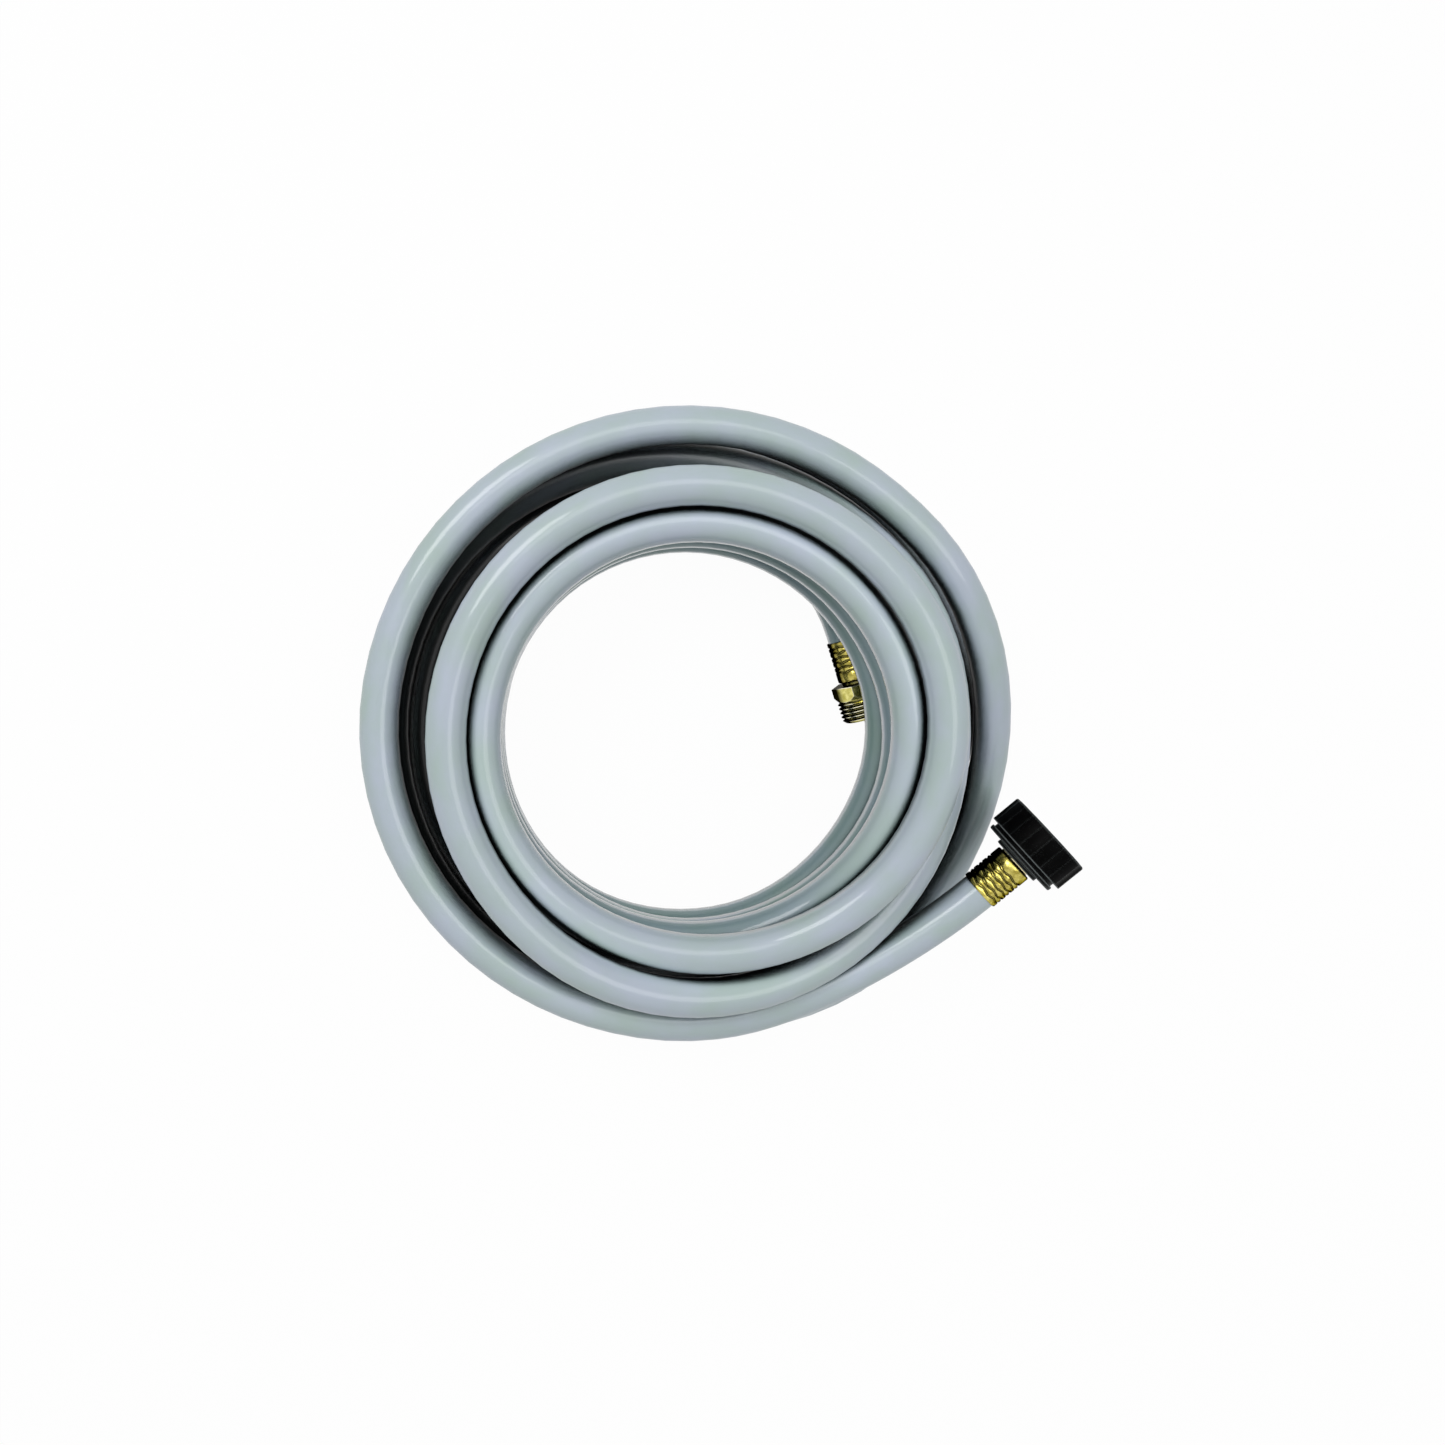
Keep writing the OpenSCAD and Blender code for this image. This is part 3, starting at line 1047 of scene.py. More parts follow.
@dataclass
class Hose:
    """The grey hose as it lies in nine turns, from the swivel end to the threaded end.

    Lengths are in mm. Travel is an angle in degrees, clockwise from the X axis.

    Attributes:
        od: the outer diameter.
        bore: the inner one.
        turn_gap: the air between layers of turns.
        side_gap: the air between the outer two rings.
        inner_ring: the radius of the inner stack.
        crossing_lift: how far the stack is lifted over the threaded end.
        crossing_slope: the length of the lift on either side of its top.
        stack_lean: how far the turns shift sideways for each mm of height.
        start: the travel where the coil starts.
        end: the travel where it ends.
        stack_start: the travel where the inner stack starts.
        stack_low: the travel where its lower turns start.
        step: the travel between two points of the route.
        hump_at: the direction of the lift's top, counter-clockwise.
        hump_pull: how far the lifted turns are drawn inwards for each mm of lift.
        sides: the sides of its section.
    """

    od: float = 18.0
    bore: float = 12.7
    turn_gap: float = 1.1
    side_gap: float = 3.7
    inner_ring: float = 99.0
    crossing_lift: float = 9.0
    crossing_slope: float = 147.0
    stack_lean: float = 0.042
    start: float = 85.0
    end: float = 3070.0
    stack_start: float = 1800.0
    stack_low: float = 2175.0
    step: float = 5.0
    hump_at: float = 8.9207
    hump_pull: float = 0.15
    sides: int = 36

    GRIP_STEPS = 4
    LEAD_IN_STEPS = 16
    LEAD_OUT_STEPS = 30
    DIVE_FROM = 0.35
    SMOOTH_ANGLE = 40

    # Straight end in diameters, then the handles of both leads in radii of their rings
    STRAIGHT = 0.222
    LEAD_IN_PULLS = (0.203, 0.311)
    LEAD_OUT_PULLS = (1.15, 0.87)

    # Where a change starts and over how much it fades in, in degrees of travel
    LIFT_ON = (1560, 150)
    LIFT_OFF = (2870, 110)
    MARK_FADE = 60

    # The same for marks on the girth, from -1 outwards to 1 towards the hole
    RUBBED = (0.93, 0.06)
    # The next two spans carry painted shade: on the lower stacked turns, and near-black on the
    # hidden turns
    STACK_SHADE_SPAN = (-0.4, 0.4)
    HIDDEN = (-0.6, 0.5)

    @property
    def crown_ring(self) -> float:
        """The highest turn's radius."""
        return self.inner_ring + 0.833 * self.od

    @property
    def second_ring(self) -> float:
        """The second ring's radius."""
        return self.crown_ring + 0.683 * self.od

    @property
    def outer_ring(self) -> float:
        """The outer ring's radius."""
        return self.second_ring + self.od + self.side_gap

    @property
    def floor_ring(self) -> float:
        """The radius of the turn on the floor inside the outer ring."""
        return self.outer_ring - 1.278 * self.od

    def level(self, k: int) -> float:
        """Returns the height of the centreline of the k-th layer of turns."""
        return self.od / 2 + k * (self.od + self.turn_gap)

    def radius_moves(self) -> list[Move]:
        """Lists how the radius changes.

        Returns:
            The rows (from, to, radius) over the travel in degrees.
        """
        outer, second, floor = self.outer_ring, self.second_ring, self.floor_ring
        crown, inner = self.crown_ring, self.inner_ring
        return [
            (100, 190, outer),
            (305, 380, outer + 0.722 * self.od),
            (400, 470, outer - 0.167 * self.od),
            (470, 530, outer + 0.111 * self.od),
            (708, 738, outer - 0.333 * self.od),
            (750, 815, floor),
            (832, 892, floor + 0.333 * self.od),
            (1115, 1185, outer - 0.417 * self.od),
            (1185, 1270, outer - 0.139 * self.od),
            (1280, 1400, second + 0.178 * self.od),
            (1400, 1460, second),
            (1474, 1595, crown),
            (1690, 1770, crown - 0.083 * self.od),
            (1765, 1915, inner),
            (2480, 2540, inner + 0.167 * self.od),
            (2600, 2680, inner),
            (2900, 2960, inner + 0.139 * self.od),
            (2990, 3060, inner),
        ]

    def height_moves(self) -> list[Move]:
        """Lists how the height changes.

        Returns:
            The rows (from, to, height) over the travel in degrees.
        """
        return [
            (318, 392, self.level(0)),
            (983, 1060, self.level(1)),
            (1335, 1425, self.level(2) + 0.044 * self.od),
            (1425, 1470, self.level(2) + 0.322 * self.od),
            (1470, 1570, self.level(3) + 0.65 * self.od),
            (1690, 1780, self.level(3) + 0.733 * self.od),
            (1800, 1940, self.level(3)),
            (2140, 2275, self.level(2)),
            (2500, 2635, self.level(1)),
            (2868, 2995, self.level(0)),
        ]

    @staticmethod
    def buried_moves() -> list[Move]:
        """Returns the rows (from, to, share) where the hose lies hidden between the rings and gets
        near-black painted shade.
        """
        return [(785, 840, 1.0), (1280, 1330, 0.7), (1375, 1440, 0.0)]

    @staticmethod
    def smooth(u: float) -> float:
        """Returns an ease from 0 to 1 for u from 0 to 1."""
        c = min(1.0, max(0.0, u))
        return c * c * (3 - 2 * c)

    def fade(self, value: float, start: float, width: float) -> float:
        """Returns an ease from 0 to 1 for a value from start to start + width."""
        return self.smooth((value - start) / width)

    def moved(self, rows: Iterable[Move], value: float, t: float) -> float:
        """Follows rows of moves up to a travel angle.

        Args:
            rows: the moves, in order.
            value: what holds before the first of them.
            t: the travel angle in degrees.

        Returns:
            The value at that angle.
        """
        for low, high, target in rows:
            value += (target - value) * self.fade(t, low, high - low)
        return value

    def hump(self, t: float) -> float:
        """Works out how far the inner stack is lifted over the threaded end.

        Args:
            t: the travel in degrees.

        Returns:
            The lift in mm.
        """
        half = math.degrees(self.crossing_slope / self.inner_ring)
        off = (-t - self.hump_at + 180) % 360 - 180
        if abs(off) >= half:
            return 0.0
        swell = math.cos(math.radians(90 * off / half)) ** 2
        on = self.fade(t, *self.LIFT_ON) * (1 - self.fade(t, *self.LIFT_OFF))
        return self.crossing_lift * swell * on

    def coil_point(self, t: float) -> Vector:
        """Works out a point of the coil's centreline.

        Args:
            t: the travel in degrees.

        Returns:
            The point in mm in the pile's own frame.
        """
        up = self.hump(t)
        first = self.outer_ring - 0.472 * self.od
        r = self.moved(self.radius_moves(), first, t) - self.hump_pull * up
        z = self.moved(self.height_moves(), self.level(2), t) + up
        lean = self.stack_lean * (z - self.level(3))
        angle = math.radians(t)
        return Vector((r * math.cos(angle) + lean, lean - r * math.sin(angle), z))

    def coil_heading(self, t: float) -> Vector:
        """Returns the unit vector along the coil at a travel angle."""
        return (self.coil_point(t + 0.5) - self.coil_point(t - 0.5)).normalized()

    @staticmethod
    def bezier(p: Sequence[Vector], u: float) -> Vector:
        """Returns the point of a cubic curve with four handles."""
        v = 1 - u
        return v**3 * p[0] + 3 * u * v * v * p[1] + 3 * u * u * v * p[2] + u**3 * p[3]

    def centreline(self, swivel: Axis, coupling: Axis, grips: tuple[float, float]) -> list[Vector]:
        """Works out the whole route.

        Args:
            swivel: the axis of the swivel end.
            coupling: the axis of the threaded end.
            grips: how deep the hose stands in the two ferrules, in mm.

        Returns:
            Points in metres in the row frame, from the end in the swivel ferrule on.
        """
        grip = self.GRIP_STEPS
        route = [swivel.at(grips[0] * k / grip) for k in range(grip, -1, -1)]
        straight = self.STRAIGHT * self.od
        early, late = (pull * self.outer_ring for pull in self.LEAD_IN_PULLS)
        out, towards = swivel.at(-straight), self.coil_heading(self.start)
        handles = [
            out,
            out - early * swivel.heading(),
            self.coil_point(self.start) - late * towards,
            self.coil_point(self.start),
        ]
        route += [self.bezier(handles, k / self.LEAD_IN_STEPS) for k in range(self.LEAD_IN_STEPS)]
        count = round((self.end - self.start) / self.step)
        route += [self.coil_point(self.start + k * self.step) for k in range(count + 1)]
        last, out = self.coil_point(self.end), coupling.at(-straight)
        early, late = (pull * self.inner_ring for pull in self.LEAD_OUT_PULLS)
        handles = [
            last,
            last + early * self.coil_heading(self.end),
            out - late * coupling.heading(),
            out,
        ]
        for k in range(1, self.LEAD_OUT_STEPS + 1):
            u = k / self.LEAD_OUT_STEPS
            point = self.bezier(handles, u)
            dive = self.fade(u, self.DIVE_FROM, 1 - self.DIVE_FROM)
            point.z = last.z + (out.z - last.z) * dive
            route.append(point)
        route += [coupling.at(grips[1] * k / grip) for k in range(grip + 1)]
        return [(point + Pile.SHIFT) * MM for point in route]

    def mark(self, hose: bpy.types.Object, count: int) -> None:
        """Marks where the surface lies low in the stack or lies hidden, for painted shade, or faces
        the hole.

        Args:
            hose: the swept tube.
            count: the number of points of its route.
        """
        coil_end = count - self.LEAD_OUT_STEPS - self.GRIP_STEPS - 2
        marks: dict[Mark, list[float]] = {mark: [] for mark in Mark}
        around = [math.cos(FULL_TURN * j / self.sides) for j in range(self.sides)]
        rubbed = [self.fade(c, *self.RUBBED) for c in around]
        stack_shade = [self.fade(c, *self.STACK_SHADE_SPAN) * (1 - r) for c, r in zip(around, rubbed)]
        hidden = [self.fade(c, *self.HIDDEN) for c in around]
        for i in range(count):
            t = self.end - (coil_end - i) * self.step
            for mark, share, girth in (
                (Mark.STACKED, self.fade(t, self.stack_low, self.MARK_FADE), stack_shade),
                (Mark.BURIED, self.moved(self.buried_moves(), 0.0, t), hidden),
                (Mark.HOLE_SIDE, self.fade(t, self.stack_start, self.MARK_FADE), rubbed),
            ):
                marks[mark] += [share * part for part in girth]
        for mark, values in marks.items():
            layer = hose.data.attributes.new(mark.value, "FLOAT", "POINT")
            layer.data.foreach_set("value", values + values)

    def tube(self, name: str, path: Sequence[Vector]) -> bpy.types.Object:
        """Sweeps the hose with its bore along a route, with a map of its length and girth.

        Args:
            name: the new object's name.
            path: the centreline in metres.

        Returns:
            A closed mesh object with a UV map in hose diameters.
        """
        n, last = self.sides, len(path) - 1
        points: list[Vector] = []
        travel = [0.0]
        for i in range(last):
            travel.append(travel[-1] + (path[i + 1] - path[i]).length)
        for radius in (self.od / 2 * MM, self.bore / 2 * MM):
            for i, centre in enumerate(path):
                course = (path[min(last, i + 1)] - path[max(0, i - 1)]).normalized()
                side = course.cross(Vector((0, 0, 1))).normalized()
                up = side.cross(course)
                for j in range(n):
                    a = FULL_TURN * j / n
                    points.append(centre + radius * (math.cos(a) * side + math.sin(a) * up))
        inner = n * (last + 1)
        faces: list[tuple[int, ...]] = []
        uvs: list[tuple[float, float]] = []

        def quad(corners: Sequence[tuple[int, int]], shift: int, flip: bool) -> None:
            """Adds a face and its place on the map.

            Args:
                corners: (ring, side) of each corner.
                shift: the number of the wall's first point.
                flip: whether it faces inwards.
            """
            ring = [(shift + n * i + j % n, travel[i] / (self.od * MM), j / n) for i, j in corners]
            if flip:
                ring.reverse()
            faces.append(tuple(corner[0] for corner in ring))
            uvs.extend((corner[1], corner[2]) for corner in ring)

        for i in range(last):
            for j in range(n):
                corners = [(i, j), (i + 1, j), (i + 1, j + 1), (i, j + 1)]
                quad(corners, 0, False)
                quad(corners, inner, True)
        for i, flip in ((0, False), (last, True)):
            for j in range(n):
                k = (j + 1) % n
                cap = [n * i + j, n * i + k, inner + n * i + k, inner + n * i + j]
                if flip:
                    cap.reverse()
                faces.append(tuple(cap))
                uvs.extend((travel[i] / (self.od * MM), 0.0) for _ in cap)
        mesh = bpy.data.meshes.new(name)
        mesh.from_pydata(points, [], faces)
        layer = mesh.uv_layers.new(name="along_hose")
        layer.data.foreach_set("uv", [value for pair in uvs for value in pair])
        obj = linked(name, mesh)
        shade(obj, self.SMOOTH_ANGLE)
        return obj

    def build(self, swivel: SwivelEnd, coupling: ThreadedEnd) -> bpy.types.Object:
        """Args:
            swivel: the end that it starts from.
            coupling: the end that it runs to.

        Returns:
            The hose's object.
        """
        path = self.centreline(swivel.axis, coupling.axis, (swivel.grip(), coupling.grip()))
        hose = self.tube("hose", path)
        GREY_VINYL.dress(hose)
        self.mark(hose, len(path))
        length = sum((b - a).length for a, b in zip(path, path[1:]))
        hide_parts("hose_coil", "swivel_lead", "coupling_lead")
        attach(hose, Body.HOSE.value)
        tuple((swivel.axis.at(0) + Pile.SHIFT) * MM)
        [tuple(point) for point in path]
        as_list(coupling.pieces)
        LOG.info("hose: %.3f m, %d faces", length, len(hose.data.polygons))
        return hose


# ---------------------------------------------------------------------------------------------
# The fittings
# ---------------------------------------------------------------------------------------------


@dataclass
class Ferrule:
    """A thin brass tube crimped over the hose, with a rolled mouth and a lip at its front."""

    name: str
    length: float
    bore_r: float = 9.05
    wall: float = 0.8
    lip: float = 1.0
    lip_bore_r: float = 5.5
    grooves: int = 6
    groove_pitch: float = 2.6
    groove_depth: float = 0.6
    jaw_marks: int = 8
    crimp_swing: float = 0.45

    # Corners as (how far out from the wall's outside, how far along) from each end
    MOUTH = ((-0.25, 0.0), (0.0, 0.3), (0.0, 0.9))
    FRONT = ((0.0, -0.7), (-0.3, -0.15), (-0.8, 0.0))
    # A groove's section: (how far along from its middle, share of its depth)
    GROOVE = ((-0.8, 0.0), (-0.5, 0.4), (-0.2, 1.0), (0.2, 1.0), (0.5, 0.4), (0.8, 0.0))

    @property
    def first_groove(self) -> float:
        """Where the first groove starts."""
        return (self.length - self.grooves * self.groove_pitch) / 3

    def outline(self) -> list[tuple[float, float]]:
        """Draws the wall.

        Returns:
            Its closed outline, from the mouth along the outside and back.
        """
        outer = self.bore_r + self.wall
        points = [(self.bore_r, 0.0)] + [(outer + out, along) for out, along in self.MOUTH]
        for k in range(self.grooves):
            middle = self.first_groove + k * self.groove_pitch + self.groove_pitch / 4
            for off, share in self.GROOVE:
                points.append((outer - self.groove_depth * share, middle + off))
        points += [(outer + out, self.length + along) for out, along in self.FRONT]
        points += [
            (self.lip_bore_r, self.length),
            (self.lip_bore_r, self.length - self.lip),
            (self.bore_r, self.length - self.lip),
        ]
        return points

    def build(self) -> bpy.types.Object:
        """Models the ferrule along its own axis.

        Returns:
            A closed mesh object with the marks of the crimping jaws.
        """
        obj = turned(self.name, self.outline())
        self.crimp(obj)
        shade(obj, 50)
        return obj

    def crimp(self, obj: bpy.types.Object) -> None:
        """Bends the grooves to and fro along the axis, every other one the other way.

        Args:
            obj: the turned tube.
        """
        half = SIDES // self.jaw_marks // 2
        for level in range(-half // 2, half // 2 + 1):
            if level == 0:
                continue

            def picked(p: Vector, level: int = level) -> bool:
                """Tells whether a point of a groove swings this far.

                Args:
                    p: the point in mm.
                    level: how far, in sides of the ring.

                Returns:
                    Whether it does.
                """
                groove = math.floor((p.z - self.first_groove + 0.4) / self.groove_pitch)
                if not 0 <= groove < self.grooves or p.xy.length < self.bore_r + 0.1:
                    return False
                around = round(math.atan2(p.y, p.x) / FULL_TURN * SIDES) % (2 * half)
                wave = abs(around - half) - half // 2
                return wave * (1 if groove % 2 else -1) == level

            slide_where(obj, picked, self.crimp_swing * level / (half // 2))


@dataclass
class Shank:
    """A barbed brass shank that stands in the hose."""

    length: float
    bore_r: float = 4.0
    barb_r: float = 6.08
    barb_depth: float = 0.5
    barb_len: float = 3.2
    barb_edge: float = 0.1
    plain_len: float = 1.2
    back: float = 2.0

    def outline(self) -> list[tuple[float, float]]:
        """Draws the shank.

        Returns:
            Its outer outline, from its free end to the ferrule's front face.
        """
        points = [(self.bore_r, self.back)]
        barbs = int((self.length - self.back - self.plain_len) / self.barb_len)
        for k in range(barbs):
            points.append((self.barb_r - self.barb_depth, self.back + k * self.barb_len))
            front = self.back + (k + 1) * self.barb_len - self.barb_edge
            points.append((self.barb_r, front))
        points.append((self.barb_r, self.length))
        return points


@dataclass
class Fitting:
    """What both ends share: an axis, a ferrule, and pieces placed on the axis and dressed."""

    axis: Axis
    ferrule_len: float = 21.4
    hose_stop: float = 1.3
    thread: ThreadForm = ThreadForm()
    pieces: list[bpy.types.Object] = field(default_factory=list)

    def grip(self) -> float:
        """Returns how deep the hose stands in the ferrule, in mm."""
        return self.ferrule_len - self.hose_stop

    def ferrule(self, name: str) -> bpy.types.Object:
        """Models the crimped ferrule under a name of its own."""
        return Ferrule(name, self.ferrule_len).build()

    def finish(
        self, obj: bpy.types.Object, node: str, body: Body, slot: Slot, finish: Finish
    ) -> None:
        """Places a piece, dresses it, and puts it in the place of its node.

        Args:
            obj: the piece, modelled along Z.
            node: the node that it stands for.
            body: what it moves with.
            slot: the record's slot for it; not used.
            finish: its material.
        """
        self.axis.place(obj)
        finish.dress(obj)
        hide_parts(node)
        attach(obj, body.value)
        self.pieces.append(obj)
        LOG.info("%s: %d faces", obj.name, len(obj.data.polygons))


@dataclass(frozen=True)
class NutSizes:
    """The swivel nut's own sizes, in mm along the axis from the ferrule's mouth."""

    back: float = 24.3
    length: float = 19.3
    od: float = 43.4
    rim_od: float = 39.0
    rim_len: float = 2.2
    groove_len: float = 1.9
    groove_depth: float = 1.0
    wall: float = 3.2
    thread_len: float = 10.3
    pocket_r: float = 13.0
    neck_hole_r: float = 8.05
    flutes: int = 10
    flute_depth: float = 0.8
    edge: float = 0.6
    steps: int = 240

    @property
    def front(self) -> float:
        """Where the nut ends."""
        return self.back + self.length

    @property
    def thread_back(self) -> float:
        """Where the inside thread starts."""
        return self.front - self.thread_len


@dataclass
class SwivelEnd(Fitting):
    """Ferrule, tailpiece, ring, swivel nut and washer."""

    axis: Axis = Axis((139.3965, -76.6022, 54.0), 43.2, 10.5)
    nut: NutSizes = NutSizes()
    ring_back: float = 22.3
    ring_thick: float = 1.8
    ring_r: float = 12.1
    neck_r: float = 8.0
    flange_r: float = 11.8
    flange_back: float = 27.7
    flange_thick: float = 2.2
    washer_back: float = 30.1
    washer_thick: float = 3.0
    washer_hole_r: float = 7.95
    washer_r: float = 12.7
    play: float = 0.05
    bore_play: float = 0.12
    lead_in: float = 1.6

    def tailpiece(self) -> bpy.types.Object:
        """Models the brass tailpiece: barbs, neck and the flange that holds the nut.

        Returns:
            A closed mesh object along Z.
        """
        shank = Shank(self.ferrule_len)
        flange_front = self.flange_back + self.flange_thick
        outline = shank.outline() + [
            (self.neck_r, self.ferrule_len),
            (self.neck_r, self.flange_back),
            (self.flange_r, self.flange_back),
            (self.flange_r, flange_front),
            (shank.bore_r, flange_front),
        ]
        obj = turned("tailpiece", outline)
        soften_edges(obj, 0.2)
        return obj

    def ring(self) -> bpy.types.Object:
        """Models the thin ring between ferrule and nut.

        Returns:
            A closed mesh object along Z.
        """
        hole = self.neck_r + self.play
        obj = disc("ring", hole, self.ring_r, self.ring_back, self.ring_thick)
        soften_edges(obj, 0.35)
        return obj

    def washer(self) -> bpy.types.Object:
        """Models the rubber washer with its softened edges.

        Returns:
            A closed mesh object along Z.
        """
        hole, rim = self.washer_hole_r, self.washer_r
        obj = disc("washer", hole, rim, self.washer_back, self.washer_thick)
        soften_edges(obj, 0.5, segments=3)
        return obj

    def swivel_nut(self) -> bpy.types.Object:
        """Models the nut: turned body, finger flutes, and the inside thread cut by a rod.

        Returns:
            A closed mesh object along Z.
        """
        nut = self.nut
        rim, body = nut.rim_od / 2, nut.od / 2
        groove_back = nut.back + nut.rim_len
        grip_back = groove_back + nut.groove_len
        floor = rim - nut.groove_depth
        plain = self.thread.root / 2 + self.bore_play
        outline = [
            (nut.neck_hole_r, nut.back),
            (rim - nut.edge / 2, nut.back),
            (rim, nut.back + nut.edge),
            (rim, groove_back),
            (floor, groove_back),
            (floor, grip_back),
            (body, grip_back),
            (body, nut.front - nut.edge),
            (body - nut.edge, nut.front),
            (plain, nut.front),
            (plain, nut.thread_back),
            (nut.pocket_r, nut.thread_back),
            (nut.pocket_r, nut.back + nut.wall),
            (nut.neck_hole_r, nut.back + nut.wall),
        ]
        obj = turned("nut", outline, nut.steps)
        turn = 360 / nut.flutes
        per_flute = nut.steps // (2 * nut.flutes)
        for k in range(1, per_flute):
            share = 1 - (2 * k / per_flute - 1) ** 2
            offset = turn / 2 + k * 360 / nut.steps

            def picked(p: Vector, offset: float = offset) -> bool:
                """Tells whether a point lies in this row of the flutes."""
                around = (math.degrees(math.atan2(p.y, p.x)) - 90 - offset) % turn
                near = min(around, turn - around) < 90 / nut.steps
                return near and p.z > grip_back - 0.1 and p.xy.length > body - 0.7

            scale_where(obj, picked, 1 - nut.flute_depth * share / body)
        soften_edges(obj, 0.35, angle=25)
        # Where two bevels meet on the thread's ledge, their points are doubles
        face_outwards(obj, SEAM_WELD)
        cutter = self.thread.rod("thread_cutter", nut.thread_back + 0.6, nut.front + 3, self.play)
        lead_in = turned(
            "lead_in",
            [
                (1.0, nut.front - 1.0),
                (self.thread.major / 2 + self.play, nut.front - 1.0),
                (self.thread.major / 2 + self.lead_in, nut.front + 0.6),
                (1.0, nut.front + 0.6),
            ],
        )
        combine(cutter, lead_in, "UNION")
        combine(obj, cutter, "DIFFERENCE")
        shade(obj, 30)
        return obj

    def build(self) -> None:
        """Models, places and dresses every piece of the swivel end."""
        hose, nut = Body.HOSE, Body.NUT
        ferrule = self.ferrule("swivel_ferrule")
        self.finish(ferrule, "female_ferrule", hose, Slot.PRESSED, PRESSED_BRASS)
        self.finish(self.tailpiece(), "female_stem", hose, Slot.TURNED, BRIGHT_BRASS)
        self.finish(self.ring(), "retaining_ring", hose, Slot.PLASTIC, BLACK_PLASTIC)
        self.finish(self.swivel_nut(), "swivel_nut", nut, Slot.PLASTIC, BLACK_PLASTIC)
        self.finish(self.washer(), "hose_washer", nut, Slot.RUBBER, BLACK_RUBBER)


@dataclass
class ThreadedEnd(Fitting):
    """Ferrule and brass coupling with waist, hexagon and outside thread, lying on the floor."""

    axis: Axis = Axis((82.8977, 45.5922, 13.5), -72.5)
    waist_r: float = 8.2
    waist_len: float = 1.7
    hex_flats: float = 25.5
    hex_len: float = 7.7
    hex_chamfer: float = 3.2
    thread_len: float = 11.2
    relief: float = 0.8
    chamfer: float = 1.4
    mouth_r: float = 9.0

    def hexagon(self, back: float, front: float) -> bpy.types.Object:
        """Models the hexagon with a turned chamfer at its front.

        Args:
            back: where it starts along the axis.
            front: where it ends.

        Returns:
            A closed mesh object with two flats level once it is placed.
        """
        corner = self.hex_flats / 2 / math.cos(math.radians(30))
        bpy.ops.object.select_all(action="DESELECT")
        bpy.ops.mesh.primitive_cylinder_add(
            vertices=6,
            radius=corner * MM,
            depth=(front - back) * MM,
            location=(0, 0, (front + back) / 2 * MM),
        )
        block = bpy.context.object
        block.name = "hexagon"
        take(block)
        bpy.ops.object.transform_apply(location=True, rotation=True, scale=True)
        envelope = turned(
            "envelope",
            [
                (1.0, back - 1),
                (corner + 1, back - 1),
                (corner + 0.2, front - self.hex_chamfer),
                (self.hex_flats / 2 - 0.1, front + 0.01),
                (1.0, front + 0.01),
            ],
        )
        combine(block, envelope, "INTERSECT")
        return block

    def coupling(self) -> bpy.types.Object:
        """Models the coupling: barbed shank, waist, hexagon, thread and mouth.

        Returns:
            A closed mesh object along Z.
        """
        shank = Shank(self.ferrule_len)
        hex_back = self.ferrule_len + self.waist_len
        hex_front = hex_back + self.hex_len
        front = hex_front + self.thread_len
        root = self.thread.root / 2
        seat = front - self.thread_len + 0.6
        outline = shank.outline() + [
            (self.waist_r, self.ferrule_len),
            (self.waist_r, hex_back + 0.3),
            (root - 0.4, hex_back + 0.6),
            (root - 0.1, hex_front + 0.2),
            (root - 0.1, front - self.chamfer),
            (root - 0.5, front - 0.3),
            (self.mouth_r, front - 0.3),
            (self.mouth_r, seat),
            (shank.bore_r, seat),
        ]
        obj = turned("coupling", outline)
        soften_edges(obj, 0.15)
        combine(obj, self.hexagon(hex_back, hex_front), "UNION")
        thread = self.thread.rod("outside_thread", hex_front + self.relief, front)
        crest = self.thread.major / 2
        envelope = turned(
            "thread_envelope",
            [
                (self.mouth_r, hex_front + self.relief - 0.1),
                (crest - 0.8, hex_front + self.relief - 0.1),
                (crest + 0.02, hex_front + self.relief + 0.7),
                (crest + 0.02, front - self.chamfer),
                (crest - self.chamfer, front),
                (self.mouth_r, front),
            ],
        )
        combine(thread, envelope, "INTERSECT")
        combine(obj, thread, "UNION")
        shade(obj, 30)
        return obj

    def build(self) -> None:
        """Models, places and dresses every piece of the threaded end."""
        hose = Body.HOSE
        ferrule = self.ferrule("coupling_ferrule")
        self.finish(ferrule, "male_ferrule", hose, Slot.PRESSED, PRESSED_BRASS)
        self.finish(self.coupling(), "male_coupling", hose, Slot.TURNED, TURNED_BRASS)


# ---------------------------------------------------------------------------------------------
# Camera, light and floor
# ---------------------------------------------------------------------------------------------


@dataclass(frozen=True)
class Viewpoint:
    """The camera: nearly straight above the pile."""

    lens: float = 25.46
    place: tuple[float, float, float] = (-54.02, 46.58, 534.35)
    tilt: tuple[float, float] = (-2.3617, -3.9289)
    shift: tuple[float, float] = (0.05, -0.03)
    clip: tuple[float, float] = (0.01, 20.0)

    def build(self) -> None:
        """Makes the camera and gives it to the scene."""
        data = bpy.data.cameras.new("viewpoint")
        data.lens = self.lens
        data.shift_x, data.shift_y = self.shift
        data.clip_start, data.clip_end = self.clip
        camera = linked("viewpoint", data)
        camera.location = (Vector(self.place) + Pile.SHIFT) * MM
        camera.rotation_euler = (math.radians(self.tilt[0]), math.radians(self.tilt[1]), 0)
        bpy.context.scene.camera = camera


@dataclass(frozen=True)
class Lamp:
    """A soft round lamp aimed at the pile."""

    name: str
    place: tuple[float, float, float]
    power: float
    size: float = 0.6

    def hang(self) -> None:
        """Makes the lamp."""
        data = bpy.data.lights.new(self.name, "AREA")
        data.shape = "DISK"
        data.size = self.size
        data.energy = self.power
        lamp = linked(self.name, data)
        lamp.location = self.place
        lamp.rotation_euler = (-lamp.location).to_track_quat("-Z", "Y").to_euler()


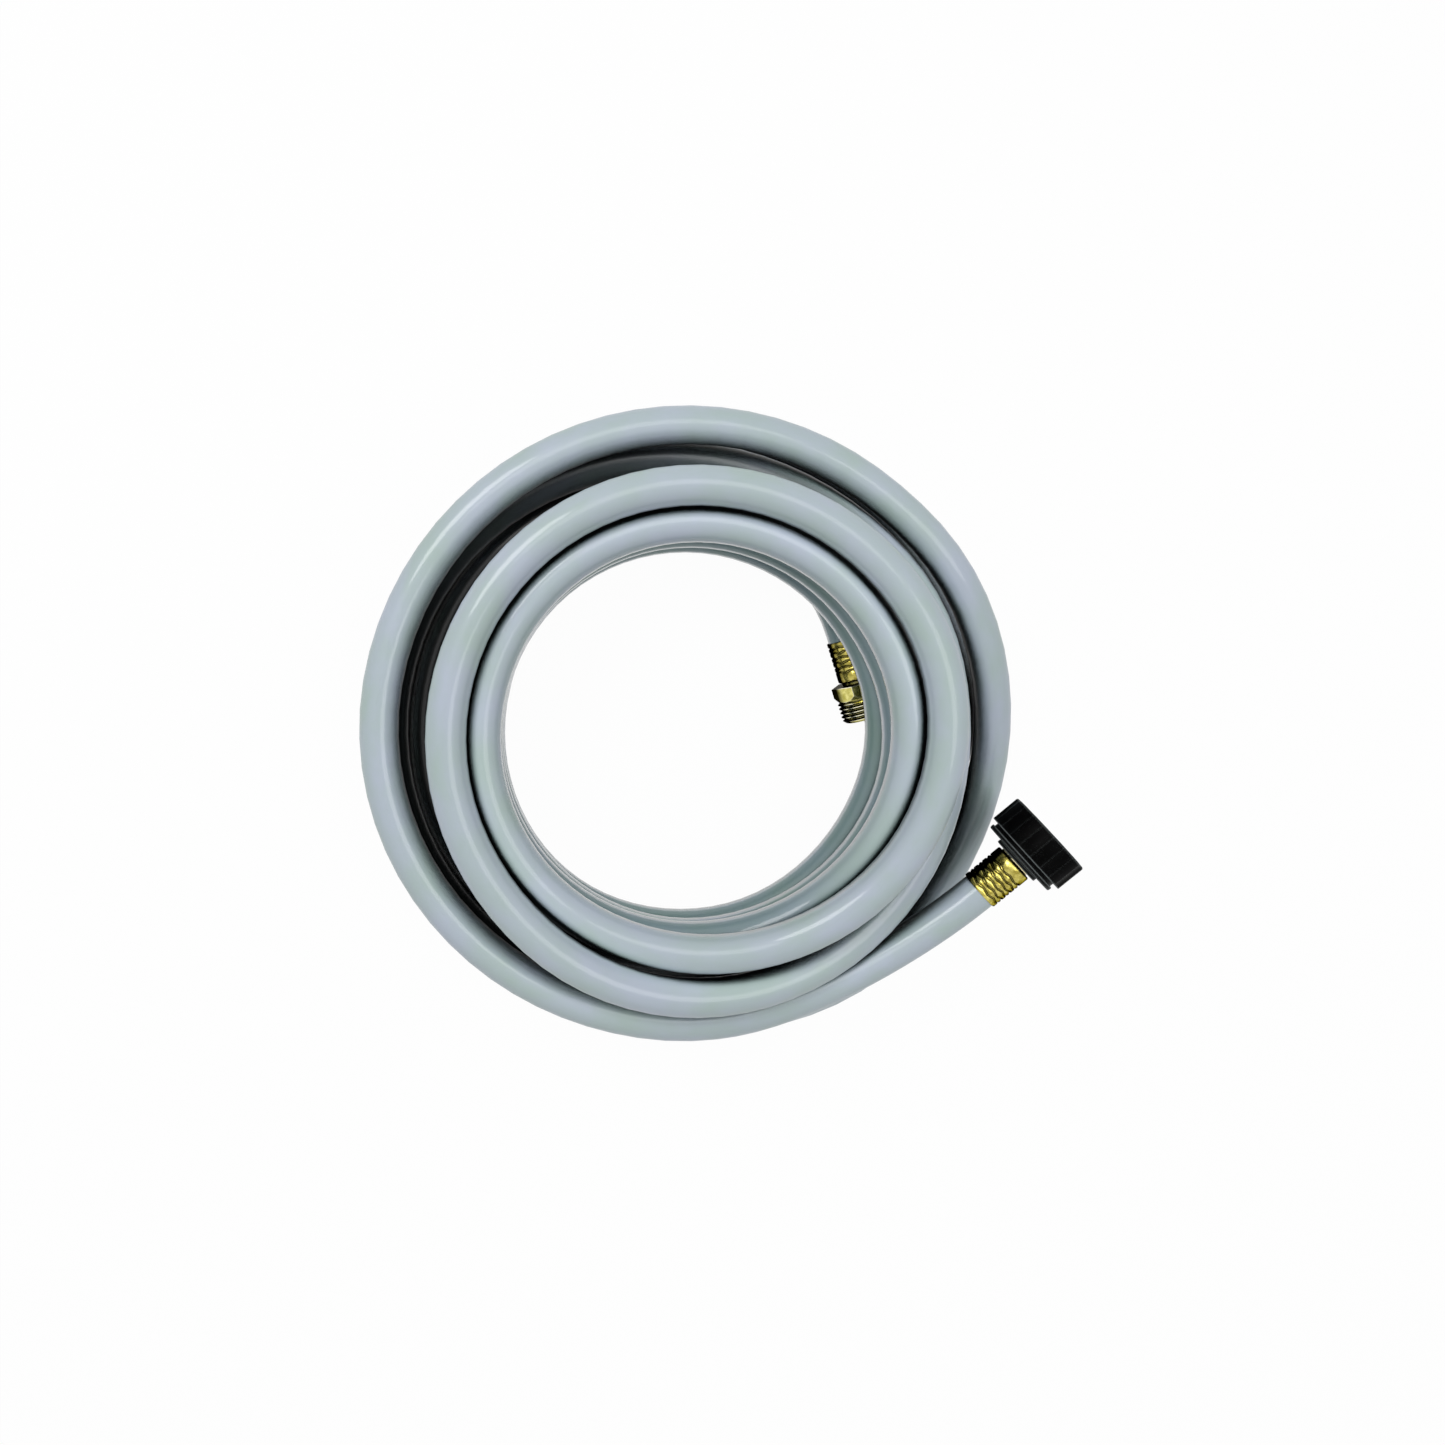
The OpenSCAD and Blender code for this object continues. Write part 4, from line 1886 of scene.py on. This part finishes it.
@dataclass(frozen=True)
class Studio:
    """A pale floor, a pale surround and soft lamps overhead."""

    floor_size: float = 8.0
    floor_colour: Colour = grey(0.8)
    floor_roughness: float = 0.9
    floor_white: float = 0.97
    surround: float = 0.42
    lamps: tuple[Lamp, ...] = (
        Lamp("upper_left", (-0.62, 0.62, 1.1), 6.0),
        Lamp("right", (0.48, 0.0, 1.2), 2.4),
        Lamp("overhead", (0.0, 0.40, 1.3), 2.2),
    )

    @staticmethod
    def white_to_lens(
        tree: bpy.types.NodeTree, source: str, target: str, white: str, amount: float
    ) -> None:
        """Shows white where the lens, or a mirror or glass, looks straight at a surface.

        Args:
            tree: the material's or the world's nodes.
            source: the name of the shader that all other rays see.
            target: the name of the output that it goes to.
            white: the type of the shader that is white.
            amount: how much of it the lens sees.
        """
        rays = add_node(tree, "LightPath").outputs
        seen = rays["Is Camera Ray"]
        for name in ("Is Glossy Ray", "Is Transmission Ray"):
            either = add_node(tree, "Math", {0: seen, 1: rays[name]}, operation="MAXIMUM")
            seen = either.outputs[0]
        share = add_node(tree, "Math", {0: seen, 1: amount}, operation="MULTIPLY").outputs[0]
        bright = add_node(tree, white, {"Color": grey(1.0), "Strength": 1.0}).outputs[0]
        mix = add_node(tree, "MixShader", {0: share, 1: tree.nodes[source].outputs[0], 2: bright})
        tree.links.new(mix.outputs[0], tree.nodes[target].inputs["Surface"])

    def floor(self) -> None:
        """Lays the pale floor."""
        bpy.ops.object.select_all(action="DESELECT")
        bpy.ops.mesh.primitive_plane_add(size=self.floor_size)
        plane = bpy.context.object
        plane.name = "studio_floor"
        pale = bpy.data.materials.new("pale_floor")
        pale.use_nodes = True
        shader = pale.node_tree.nodes["Principled BSDF"]
        shader.inputs["Base Color"].default_value = self.floor_colour
        shader.inputs["Roughness"].default_value = self.floor_roughness
        shader.inputs["Specular IOR Level"].default_value = 0.0
        self.white_to_lens(
            pale.node_tree, shader.name, "Material Output", "Emission", self.floor_white
        )
        plane.data.materials.append(pale)
        plane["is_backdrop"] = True

    def world(self) -> None:
        """Makes the pale surround."""
        world = bpy.data.worlds.new("surround")
        world.use_nodes = True
        bpy.context.scene.world = world
        shader = world.node_tree.nodes["Background"]
        shader.inputs["Color"].default_value = grey(1.0)
        shader.inputs["Strength"].default_value = self.surround
        self.white_to_lens(world.node_tree, shader.name, "World Output", "Background", 1.0)

    def build(self) -> None:
        """Sets up the whole studio."""
        self.floor()
        self.world()
        for lamp in self.lamps:
            lamp.hang()
        bpy.context.scene.view_settings.view_transform = "Standard"


def corners(box: tuple[Vector, Vector]) -> list[list[float]]:
    """Returns a box's two corners as plain lists."""
    return [list(corner) for corner in box]


def main() -> None:
    """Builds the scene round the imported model."""
    logging.basicConfig(level=logging.INFO, format="%(name)s: %(message)s")
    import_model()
    solid_box = corners(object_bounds())
    Viewpoint().build()
    swivel, coupling = SwivelEnd(), ThreadedEnd()
    coupling.build()
    Hose().build(swivel, coupling)
    swivel.build()
    Studio().build()
    {"solids": solid_box, "scene": corners(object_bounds())}


if __name__ == "__main__":
    main()
